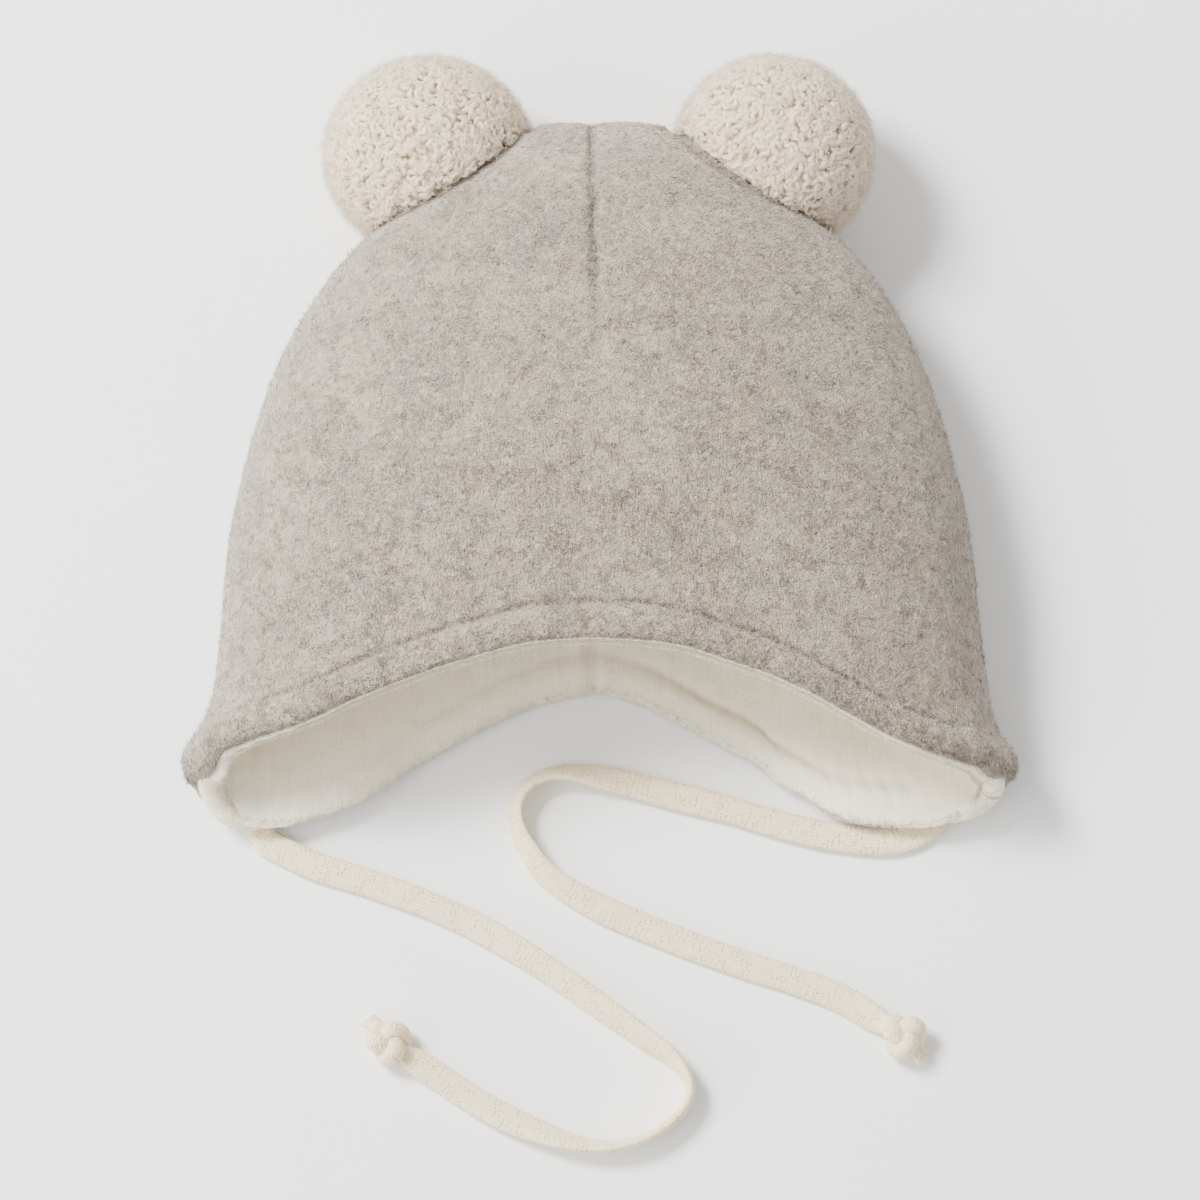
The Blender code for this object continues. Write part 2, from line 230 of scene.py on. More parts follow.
class Desk:
    """A material on the bench: its node tree, and short ways to lay out nodes."""

    SPECULAR = 0.2
    SHEEN_ROUGHNESS = 0.5
    GLOW_REACH = (1.0, 0.85, 0.7)
    GLOW_DEPTH = 0.0020

    def __init__(self, name: str) -> None:
        """Start a material with only its output.

        Args:
            name: The material's name.
        """
        self.material = bpy.data.materials.new(name)
        self.material.use_nodes = True
        self.tree = self.material.node_tree
        self.tree.nodes.clear()
        self.output = self.node("ShaderNodeOutputMaterial")

    def node(
        self, kind: str, settings: dict | None = None, inputs: dict | None = None
    ) -> bpy.types.Node:
        """Add a node.

        Args:
            kind: The node's type.
            settings: Its own settings, which are set first.
            inputs: A value, link or Signal for each socket, by name or number.

        Returns:
            The new node.
        """
        made = self.tree.nodes.new(kind)
        for key, value in (settings or {}).items():
            setattr(made, key, value)
        for key, value in (inputs or {}).items():
            value = value.socket if isinstance(value, Signal) else value
            if isinstance(value, bpy.types.NodeSocket):
                self.tree.links.new(value, made.inputs[key])
            else:
                made.inputs[key].default_value = value
        return made

    def math(self, operation: str, first: Signal | float, second: Signal | float) -> Signal:
        """Add a Math node on two values."""
        made = self.node("ShaderNodeMath", {"operation": operation}, {0: first, 1: second})
        return Signal(self, made.outputs[0])

    def place(self) -> bpy.types.NodeSocket:
        """Return the object coordinates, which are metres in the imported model's frame."""
        return self.node("ShaderNodeTexCoord").outputs["Object"]

    def turned(
        self, vector: bpy.types.NodeSocket, turn: tuple, scale: tuple
    ) -> bpy.types.NodeSocket:
        """Turn coordinates and stretch them along the turned axes."""
        made = self.node("ShaderNodeMapping", None, {"Vector": vector, 2: turn})
        return self.node("ShaderNodeMapping", None, {"Vector": made.outputs[0], 3: scale}).outputs[0]

    def noise(
        self, vector: bpy.types.NodeSocket, size: float, detail: float = 2.0, twist: float = 0.0
    ) -> Signal:
        """Add noise whose lumps have a size in metres."""
        values = {"Vector": vector, "Scale": 1 / size, "Detail": detail, "Distortion": twist}
        return Signal(self, self.node("ShaderNodeTexNoise", None, values).outputs[0])

    def attribute(self, name: str) -> Signal:
        """Read a number that the mesh carries."""
        return Signal(self, self.node("ShaderNodeAttribute", {"attribute_name": name}).outputs[2])

    def blend(self, share: Signal | float, first: object, second: object) -> bpy.types.NodeSocket:
        """Mix two colours by a share."""
        inputs = {0: share, 6: first, 7: second}
        return self.node("ShaderNodeMix", {"data_type": "RGBA"}, inputs).outputs[2]

    def shade(
        self, colour: bpy.types.NodeSocket, height: Signal, surface: Surface
    ) -> bpy.types.Material:
        """Close the material with one cloth shader.

        Args:
            colour: The base colour.
            height: The small relief, which the surface gives its depth.
            surface: How the cloth takes light.

        Returns:
            The finished material.
        """
        relief = {"Height": height, "Distance": surface.relief, "Strength": 1.0}
        inputs = {
            "Base Color": colour,
            "Roughness": surface.roughness,
            "Specular IOR Level": self.SPECULAR,
            "Sheen Weight": surface.sheen,
            "Sheen Roughness": self.SHEEN_ROUGHNESS,
            "Sheen Tint": linear(surface.tint),
            "Subsurface Weight": surface.glow,
            "Subsurface Radius": self.GLOW_REACH,
            "Subsurface Scale": self.GLOW_DEPTH,
            "Normal": self.node("ShaderNodeBump", None, relief).outputs[0],
        }
        shader = self.node("ShaderNodeBsdfPrincipled", None, inputs)
        self.tree.links.new(shader.outputs[0], self.output.inputs["Surface"])
        return self.material


@dataclass(frozen=True)
class Flecks:
    """Flecks of one size in a finish, which show where their noise runs from low to high."""

    size: float
    detail: float
    low: float
    high: float
    strength: float
    twist: float = 0.0

    def read(self, desk: Desk, place: bpy.types.NodeSocket) -> Signal:
        """Return the noise that the flecks are made of."""
        return desk.noise(place, self.size, self.detail, self.twist)

    def shown(self, noise_read: Signal) -> Signal:
        """Return where the flecks of a noise show, from 0 to their strength."""
        return noise_read.step(self.low, self.high) * self.strength

    def mask(self, desk: Desk, place: bpy.types.NodeSocket) -> Signal:
        """Return where the flecks show, from 0 to their strength."""
        return self.shown(self.read(desk, place))


@dataclass(frozen=True)
class Fibres:
    """Fibres that lie one way in a finish, which show where their noise runs from low to high."""

    turn: Place
    low: float
    high: float
    strength: float
    length: float = 0.0018
    width: float = 0.00034

    def mask(self, desk: Desk, place: bpy.types.NodeSocket) -> Signal:
        """Return where the fibres show, from 0 to their strength.

        Args:
            desk: The material being made.
            place: Object coordinates, or the band's own map.

        Returns:
            The mask.
        """
        stretch = (1 / self.length, 1 / self.width, 1 / self.width)
        turned = desk.turned(place, self.turn, stretch)
        return desk.noise(turned, 1.0, 1).step(self.low, self.high) * self.strength


@dataclass(frozen=True)
class HeatherWool:
    """Felted wool of mixed fibres: beige and grey patches, cream flecks and a few brown hairs."""

    beige: Colour = (152, 137, 116)
    grey: Colour = (137, 126, 118)
    cream: Colour = (192, 178, 158)
    brown: Colour = (78, 65, 55)
    surface: Surface = Surface(roughness=0.95, relief=0.00045, sheen=0.70, tint=(255, 246, 236))
    felting: float = 0.0030
    grit: float = 0.0007
    raised: tuple = (
        Fibres((0.3, 0.2, 0.3), 0.42, 0.72, 0.35),
        Fibres((-0.3, 0.4, 1.4), 0.42, 0.72, 0.35),
        Fibres((0.2, -0.4, 2.4), 0.42, 0.72, 0.35),
    )
    patches: Flecks = Flecks(0.0060, 4, 0.40, 0.60, 1.00, 0.4)
    clouds: Flecks = Flecks(0.0160, 4, 0.42, 0.66, 0.46, 0.5)
    depths: Flecks = Flecks(0.0042, 4, 0.48, 0.64, 0.44, 0.6)
    tufts: Flecks = Flecks(0.0019, 3, 0.50, 0.68, 0.70, 0.9)
    knots: Flecks = Flecks(0.0042, 3, 0.46, 0.66, 0.75, 0.8)
    shades: Flecks = Flecks(0.0016, 3, 0.52, 0.72, 0.60, 1.0)
    dark_fibres: tuple = (
        Fibres((0.2, 0.3, 0.9), 0.58, 0.72, 0.75),
        Fibres((-0.2, 0.3, 2.1), 0.60, 0.72, 0.75),
    )
    light_fibres: tuple = (
        Fibres((0.4, -0.2, 0.2), 0.56, 0.70, 0.60),
        Fibres((-0.3, -0.2, 1.5), 0.58, 0.70, 0.60),
    )
    # Dotted specks of painted shade in the creases.
    shade_specks: Flecks = Flecks(0.0013, 2, 0.36, 0.60, 0.80)

    def material(self) -> bpy.types.Material:
        """Return the finish of the hat's outside.

        Returns:
            The finished material.
        """
        desk = Desk("heather_wool")
        place = desk.place()
        colour = self.mixture(desk, place)
        height = desk.noise(place, self.felting, 3) * 0.5
        for fibres in self.raised:
            height = height + fibres.mask(desk, place)
        height = height + desk.noise(place, self.grit, 2) * 0.5
        return desk.shade(colour, height, self.surface)

    def mixture(self, desk: Desk, place: bpy.types.NodeSocket) -> bpy.types.NodeSocket:
        """Lay the colours of the fibres over each other, then the painted shade in the wool's creases.

        Args:
            desk: The material being made.
            place: Object coordinates.

        Returns:
            The mixed colour.
        """
        cream, brown = linear(self.cream), linear(self.brown)
        colour = desk.blend(self.patches.mask(desk, place), linear(self.grey), linear(self.beige))
        colour = desk.blend(self.clouds.mask(desk, place), colour, cream)
        colour = desk.blend(self.depths.mask(desk, place), colour, brown)
        colour = desk.blend(self.tufts.mask(desk, place), colour, cream)
        knots = self.knots.mask(desk, place) + 0.25
        colour = desk.blend(self.shades.mask(desk, place) * knots, colour, brown)
        for fibres in self.dark_fibres:
            colour = desk.blend(fibres.mask(desk, place) * knots, colour, brown)
        for fibres in self.light_fibres:
            colour = desk.blend(fibres.mask(desk, place), colour, cream)
        # Painted shade: the crease mark darkens the wool in dotted specks in the hem's groove, along the
        # dart's seam and round the ears' seats.
        seam = desk.attribute("crease_shade") * (self.shade_specks.mask(desk, place) + 0.2)
        return desk.blend(seam * 0.9, colour, brown)


@dataclass(frozen=True)
class WoolHairs:
    """The loose hairs that stand off the wool, each of one shade."""

    light: Colour = (200, 187, 168)
    middle: Colour = (150, 137, 121)
    dark: Colour = (80, 69, 60)
    surface: Surface = Surface(roughness=0.9, relief=0.00005, sheen=0.2, tint=(255, 250, 244))
    grain: float = 0.0004

    def material(self) -> bpy.types.Material:
        """Return the finish of the loose hairs.

        Returns:
            The finished material.
        """
        desk = Desk("wool_hairs")
        tone = desk.attribute("tone")
        colour = desk.blend(tone.step(0.15, 0.45), linear(self.dark), linear(self.middle))
        colour = desk.blend(tone.step(0.50, 0.85), colour, linear(self.light))
        return desk.shade(colour, desk.noise(desk.place(), self.grain, 1), self.surface)


@dataclass(frozen=True)
class BrushedFleece:
    """The cream lining: a short brushed nap with faint ribs."""

    cream: Colour = (250, 242, 220)
    shade: Colour = (216, 203, 178)
    warm: Colour = (244, 232, 206)
    surface: Surface = Surface(roughness=0.95, relief=0.00030, sheen=0.30, tint=(255, 252, 246))
    clouds: Flecks = Flecks(0.0100, 3, 0.35, 0.65, 0.35)
    rib: Place = (0.0009, 0.012, 0.002)
    ribs: Flecks = Flecks(1.0, 2, 0.45, 0.75, 0.22)
    nap: Flecks = Flecks(0.0006, 3, 0.52, 0.75, 0.25)
    down: float = 0.0022

    def material(self) -> bpy.types.Material:
        """Return the finish of the lining.

        Returns:
            The finished material.
        """
        desk = Desk("brushed_fleece")
        place = desk.place()
        shade = linear(self.shade)
        colour = desk.blend(self.clouds.mask(desk, place), linear(self.cream), linear(self.warm))
        stretch = tuple(1 / size for size in self.rib)
        ribs = self.ribs.read(desk, desk.turned(place, (0, 0, 0), stretch))
        colour = desk.blend(self.ribs.shown(ribs), colour, shade)
        nap = self.nap.read(desk, place)
        colour = desk.blend(self.nap.shown(nap), colour, shade)
        # Painted shade: the crease mark darkens the fleece in the hem's groove, along the back seam and in
        # the folds.
        colour = desk.blend(desk.attribute("crease_shade") * 0.55, colour, shade)
        height = ribs * 0.35 + nap * 0.6 + desk.noise(place, self.down, 2) * 0.4
        return desk.shade(colour, height, self.surface)


@dataclass(frozen=True)
class CurlyPile:
    """Cream pile in small curls."""

    cream: Colour = (255, 234, 204)
    shade: Colour = (255, 224, 190)
    surface: Surface = Surface(roughness=0.95, relief=0.00025, sheen=0.40, tint=(255, 250, 240), glow=0.45)
    hairs: Flecks = Flecks(0.00035, 3, 0.52, 0.72, 0.25, 0.5)
    tangle: float = 0.0009

    def material(self) -> bpy.types.Material:
        """Return the finish of the ears.

        Returns:
            The finished material.
        """
        desk = Desk("curly_pile")
        place = desk.place()
        colour = desk.blend(desk.attribute("tone"), linear(self.shade), linear(self.cream))
        hairs = self.hairs.read(desk, place)
        colour = desk.blend(self.hairs.shown(hairs), colour, linear(self.shade))
        height = hairs * 0.7 + desk.noise(place, self.tangle, 2) * 0.5
        return desk.shade(colour, height, self.surface)


@dataclass(frozen=True)
class FineKnit:
    """Fine cream tube knit: columns of small stitches along the band, with pinholes between them."""

    cream: Colour = (246, 229, 191)
    # The colour of the painted shade in the pinholes; it also tints the fibres.
    hole: Colour = (214, 176, 142)
    surface: Surface = Surface(roughness=0.9, relief=0.00022, sheen=0.30, tint=(255, 250, 243))
    column: float = 0.00082
    stitch: float = 0.00095
    slant: float = 0.0006
    sway: float = 0.0030
    fibres: Flecks = Flecks(0.00030, 3, 0.50, 0.75, 0.20)
    patches: Flecks = Flecks(0.0036, 2, 0.38, 0.60, 0.85)

    def material(self) -> bpy.types.Material:
        """Return the finish of the ties and their knots, which reads the band's own map in metres.

        Returns:
            The finished material.
        """
        desk = Desk("fine_knit")
        place = desk.node("ShaderNodeUVMap", {"uv_map": Bench.KNIT_MAP}).outputs[0]
        parts = desk.node("ShaderNodeSeparateXYZ", None, {0: place})
        across = Signal(desk, parts.outputs[0])
        along = Signal(desk, parts.outputs[1])
        shift = desk.noise(place, self.sway, 3)
        columns = self.wave(desk, across, self.column, shift * 2.6)
        slant = desk.math("ABSOLUTE", self.wave(desk, across, 2 * self.column, 0.0) - 0.5, 0.0)
        rows = self.wave(desk, along + slant * self.slant, self.stitch, shift * 4.0)
        fibres = self.fibres.read(desk, place)
        holes = self.pinholes(desk, place) * (self.patches.mask(desk, place) + 0.15)
        # Painted shade in the pinholes between the stitches.
        colour = desk.blend(holes * 0.70, linear(self.cream), linear(self.hole))
        colour = desk.blend(self.fibres.shown(fibres), colour, linear(self.hole))
        height = columns * 0.22 + rows * 0.12 + fibres * 0.60 - holes * 0.8
        return desk.shade(colour, height, self.surface)

    def pinholes(self, desk: Desk, place: bpy.types.NodeSocket) -> Signal:
        """Return 1 in the small holes between the stitches.

        Args:
            desk: The material being made.
            place: Object coordinates, or the band's own map.

        Returns:
            The mask.
        """
        lattice = desk.turned(place, (0, 0, 0), (1 / self.column, 1 / (1.35 * self.stitch), 1.0))
        cells = {"Vector": lattice, "Scale": 1.0, "Randomness": 0.6}
        made = desk.node("ShaderNodeTexVoronoi", {"voronoi_dimensions": "2D"}, cells)
        return 1.0 - Signal(desk, made.outputs[0]).step(0.08, 0.36)

    def wave(self, desk: Desk, run: Signal, pitch: float, shift: Signal | float) -> Signal:
        """Return a wave of 0 to 1 with a pitch in metres."""
        turned = desk.math("SINE", run * (2 * math.pi / pitch) + shift, 0.0)
        return turned * 0.5 + 0.5


@dataclass(frozen=True)
class StudioPaper:
    """The plain pale floor."""

    pale: Colour = (252, 252, 252)
    grey: Colour = (250, 250, 250)
    surface: Surface = Surface(roughness=0.9, relief=0.00001, sheen=0.0, tint=(255, 255, 255))
    grain: float = 0.02

    def material(self) -> bpy.types.Material:
        """Return the finish of the floor.

        Returns:
            The finished material.
        """
        desk = Desk("studio_paper")
        grain = desk.noise(desk.place(), self.grain, 2)
        return desk.shade(desk.blend(grain, linear(self.pale), linear(self.grey)), grain, self.surface)


class Bench:
    """Short ways to shape meshes with Blender's own operators."""

    KNIT_MAP = "band"

    @staticmethod
    def coordinates(piece: bpy.types.Object) -> np.ndarray:
        """Return the coordinates of a mesh's points, as rows.

        Args:
            piece: The piece.

        Returns:
            Its points in metres.
        """
        flat = np.empty(3 * len(piece.data.vertices))
        piece.data.vertices.foreach_get("co", flat)
        return flat.reshape(-1, 3)

    @classmethod
    def lay_map(cls, piece: bpy.types.Object, values: np.ndarray) -> None:
        """Give a mesh the map that the knit reads.

        Args:
            piece: The piece.
            values: Metres across and metres along, for each of its points.
        """
        mesh = piece.data
        layer = mesh.uv_layers.new(name=cls.KNIT_MAP)
        corners = np.empty(len(mesh.loops), int)
        mesh.loops.foreach_get("vertex_index", corners)
        layer.data.foreach_set("uv", values[corners].ravel())
        mesh.uv_layers.active = layer

    @staticmethod
    def pick(piece: bpy.types.Object) -> None:
        """Select one object alone and make it the active one.

        Args:
            piece: The object.
        """
        bpy.ops.object.select_all(action="DESELECT")
        piece.select_set(True)
        bpy.context.view_layer.objects.active = piece

    @staticmethod
    def added(name: str) -> bpy.types.Object:
        """Name the object that an operator has just added.

        Args:
            name: Its name, also for its mesh.

        Returns:
            The object.
        """
        piece = bpy.context.object
        piece.name = name
        piece.data.name = name
        return piece

    @classmethod
    def lattice(cls, name: str, points: np.ndarray, numbers: dict[str, np.ndarray]) -> bpy.types.Object:
        """Lay a grid on rows of points, and close it where its ends meet.

        Args:
            name: The new piece's name.
            points: Rows of points; the last column repeats the first on a closed form.
            numbers: Values that the mesh is to carry, as rows like the points.

        Returns:
            The new piece.
        """
        rows, columns = points.shape[:2]
        bpy.ops.object.select_all(action="DESELECT")
        bpy.ops.mesh.primitive_grid_add(x_subdivisions=columns - 1, y_subdivisions=rows - 1, size=1)
        piece = cls.added(name)
        flat = cls.coordinates(piece).round(6)
        order = np.lexsort((flat[:, 0], flat[:, 1]))
        flat[order] = points.reshape(-1, 3)
        piece.data.vertices.foreach_set("co", flat.ravel())
        for key, values in numbers.items():
            laid = np.empty(rows * columns)
            laid[order] = values.reshape(-1)
            layer = piece.data.attributes.new(key, "FLOAT", "POINT")
            layer.data.foreach_set("value", laid)
        cls.close(piece)
        return piece

    @classmethod
    def close(cls, piece: bpy.types.Object) -> None:
        """Merge the doubles of a mesh, point its faces outwards and shade it smooth.

        Args:
            piece: The piece.
        """
        cls.pick(piece)
        bpy.ops.object.mode_set(mode="EDIT")
        bpy.ops.mesh.select_all(action="SELECT")
        bpy.ops.mesh.remove_doubles(threshold=0.000002)
        bpy.ops.mesh.normals_make_consistent(inside=False)
        bpy.ops.object.mode_set(mode="OBJECT")
        bpy.ops.object.shade_smooth()

    @staticmethod
    def joined(name: str, points: np.ndarray, faces: list, tone: np.ndarray) -> bpy.types.Object:
        """Join the copies of small shapes into one piece.

        Args:
            name: The new piece's name.
            points: The points of all copies.
            faces: The corners of every face.
            tone: The shade of every point.

        Returns:
            The new piece.
        """
        mesh = bpy.data.meshes.new(name)
        mesh.from_pydata(points.tolist(), [], faces)
        layer = mesh.attributes.new("tone", "FLOAT", "POINT")
        layer.data.foreach_set("value", tone)
        mesh.polygons.foreach_set("use_smooth", np.ones(len(mesh.polygons), bool))
        mesh.update()
        piece = bpy.data.objects.new(name, mesh)
        bpy.context.scene.collection.objects.link(piece)
        return piece

    @staticmethod
    def finish(piece: bpy.types.Object, material: bpy.types.Material, slot: Slot) -> None:
        """Dress a piece, let it ride on the hat and report it.

        Args:
            piece: The finished piece.
            material: What it is made of.
            slot: The record's slot for that, which is not used.
        """
        piece.data.materials.clear()
        piece.data.materials.append(material)
        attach(piece, ROOT)
        count = len(piece.data.loops) - 2 * len(piece.data.polygons)
        LOG.info("%s: %d triangles", piece.name, count)


@dataclass
class Studio:
    """The floor, the lights and the camera at the photograph's angle."""

    tilt: float = math.radians(12)
    distance: float = 1.3
    nearest: float = 0.05
    sensor: float = 36.0
    half_frame: float = 0.1404
    middle_y: float = -0.0379
    middle_z: float = 0.0150
    floor_size: float = 6.0
    floor_depth: float = 0.00005
    lit_place: Place = (0.0, -0.03, 0.02)
    key_power: float = 90.0
    key_place: Place = (-1.05, 0.68, 1.45)
    key_size: float = 0.60
    fill_power: float = 24.0
    fill_place: Place = (-1.30, -0.60, 0.75)
    fill_size: float = 1.2
    sky: float = 0.92

    def camera(self) -> None:
        """Add the camera, tilted from straight above towards the hat's opening."""
        along = (self.middle_y - self.middle_z * math.sin(self.tilt)) / math.cos(self.tilt)
        back = Vector((0.0, -math.sin(self.tilt), math.cos(self.tilt)))
        place = Vector((0.0, along, self.middle_z)) + back * self.distance
        bpy.ops.object.camera_add(location=place, rotation=(self.tilt, 0.0, 0.0))
        made = bpy.context.object
        made.data.sensor_width = self.sensor
        made.data.lens = 0.5 * self.sensor * self.distance / self.half_frame
        made.data.clip_start = self.nearest
        bpy.context.scene.camera = made

    def floor(self) -> None:
        """Lay the floor just under the hat."""
        bpy.ops.mesh.primitive_plane_add(size=self.floor_size, location=(0, 0, -self.floor_depth))
        made = Bench.added("studio_floor")
        made.data.materials.append(StudioPaper().material())

    def softbox(self, name: str, place: Place, size: float, power: float) -> None:
        """Hang a square soft light that faces the hat.

        Args:
            name: The light's name.
            place: Where it hangs.
            size: The length of its side.
            power: Its power in watts.
        """
        bpy.ops.object.light_add(type="AREA", location=place)
        made = bpy.context.object
        made.name = name
        made.data.size = size
        made.data.energy = power
        facing = Vector(self.lit_place) - Vector(place)
        made.rotation_euler = facing.to_track_quat("-Z", "Y").to_euler()

    def surroundings(self) -> None:
        """Light the room evenly."""
        world = bpy.context.scene.world or bpy.data.worlds.new("studio")
        bpy.context.scene.world = world
        world.use_nodes = True
        backdrop = world.node_tree.nodes["Background"]
        backdrop.inputs["Color"].default_value = (1.0, 1.0, 1.0, 1.0)
        backdrop.inputs["Strength"].default_value = self.sky

    def build(self) -> None:
        """Set up the studio."""
        self.camera()
        self.floor()
        self.softbox("key_light", self.key_place, self.key_size, self.key_power)
        self.softbox("fill_light", self.fill_place, self.fill_size, self.fill_power)
        self.surroundings()


@dataclass
class Tie:
    """One knitted tie: a flat band on the floor that stands on edge in its tight bends."""

    side: Side
    stops: list[Place]
    width: float = 0.0066
    thickness: float = 0.0026
    clearance: float = 0.0001
    lowest: float = 0.00002
    step: float = 0.0007
    path_step: float = 0.003
    into_knot: float = 0.0035
    gather: float = 0.42
    gather_from: float = 0.0075
    gather_to: float = 0.0010
    plump: float = 0.35
    lift: float = 0.0022
    lift_from: float = 0.0060
    wander: float = 0.05
    wander_size: float = 0.014
    sides: int = 28
    reads_between: int = 24

    def line(self, step: float) -> tuple[np.ndarray, np.ndarray]:
        """Return the middle line of the band at even steps, and the roll at each.

        Args:
            step: The distance between two points.

        Returns:
            Points in metres, and angles in radians.
        """
        fine = flow(np.array(self.stops), self.reads_between)
        lengths = np.concatenate([[0.0], np.cumsum(np.linalg.norm(np.diff(fine[:, :2], axis=0), axis=1))])
        even = np.linspace(0.0, lengths[-1], round(lengths[-1] / step) + 1)
        x, y, roll = (np.interp(even, lengths, fine[:, axis]) for axis in range(3))
        roll = np.radians(np.maximum(roll, 0.0))
        half = 0.5 * (self.width - self.thickness) * np.sin(roll)
        z = self.clearance + 0.5 * self.thickness + half
        return np.stack([x, y, z], axis=1), roll

    def section(self) -> np.ndarray:
        """Return the band's cross-section: a soft flat tube, a little hollow along its middle.

        Returns:
            Places across the band and through it, in metres.
        """
        turns = girth(self.sides)
        wide = np.sign(np.cos(turns)) * np.abs(np.cos(turns)) ** 0.86
        high = np.sign(np.sin(turns)) * np.abs(np.sin(turns)) ** 0.90
        high = high * (1 - 0.12 * bell(wide, 0.45))
        return np.stack([0.5 * self.width * wide, 0.5 * self.thickness * high], axis=1)

    def build(self, knit: bpy.types.Material, knot: Knot) -> None:
        """Args:
            knit: What the band is made of.
            knot: The knot at its end.
        """
        centres, rolls = self.line(self.step)
        end, last = centres[-1], centres[-1] - centres[-2]
        more = np.arange(1, round(self.into_knot / self.step) + 1)[:, None]
        centres = np.vstack([centres, end + more * last / np.linalg.norm(last) * self.step])
        rolls = np.concatenate([rolls, np.full(len(more), rolls[-1])])
        heading = unit(np.gradient(centres[:, :2], axis=0))
        beside = np.stack([-heading[:, 1], heading[:, 0], np.zeros(len(centres))], axis=1)
        across = beside * np.cos(rolls)[:, None] + UP * np.sin(rolls)[:, None]
        through = UP * np.cos(rolls)[:, None] - beside * np.sin(rolls)[:, None]
        run = np.arange(len(centres)) * self.step
        section = self.section()
        uneven = 1 + self.wander * line_lumps(run, self.wander_size, 3.0 * self.side.value)
        gathered = 1 - self.gather * ease(run, run[-1] - self.gather_from, run[-1] - self.gather_to)
        wide = section[None, :, 0] * (uneven * gathered)[:, None]
        thick = section[None, :, 1] * (1 + self.plump * (1 - gathered))[:, None]
        points = centres[:, None] + across[:, None] * wide[..., None] + through[:, None] * thick[..., None]
        lift = self.lift * ease(run, run[-1] - self.lift_from, run[-1])
        points[..., 2] = points[..., 2] + lift[:, None]
        centres = centres + UP * lift[:, None]
        points = capped(points, centres)
        points[..., 2] = np.maximum(points[..., 2], self.lowest)
        band = Bench.lattice("tie_%s_band" % self.side.word, points, {})
        self.map_girth(band, centres, run, across, through)
        Bench.finish(band, knit, Slot.KNIT)
        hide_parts("tie_%s" % self.side.word)
        bow = knot.build(end, heading[-1], knit)
        path, _ = self.line(self.path_step)

    def map_girth(
        self,
        band: bpy.types.Object,
        centres: np.ndarray,
        run: np.ndarray,
        across: np.ndarray,
        through: np.ndarray,
    ) -> None:
        """Give the band a map in metres: round its girth and along its length.

        Args:
            band: The finished band.
            centres: Its middle line.
            run: The length up to each point of that line.
            across: The direction of the band's width at each point.
            through: The direction of its thickness at each point.
        """
        co = Bench.coordinates(band)
        nearest = np.array([int(np.argmin(((centres - place) ** 2).sum(axis=1))) for place in co])
        rel = co - centres[nearest]
        flat = (rel * across[nearest]).sum(axis=1)
        lift = (rel * through[nearest]).sum(axis=1)
        around = flat + np.sign(flat) * 0.5 * (0.5 * self.thickness - np.abs(lift))
        Bench.lay_map(band, np.stack([around, run[nearest]], axis=1))


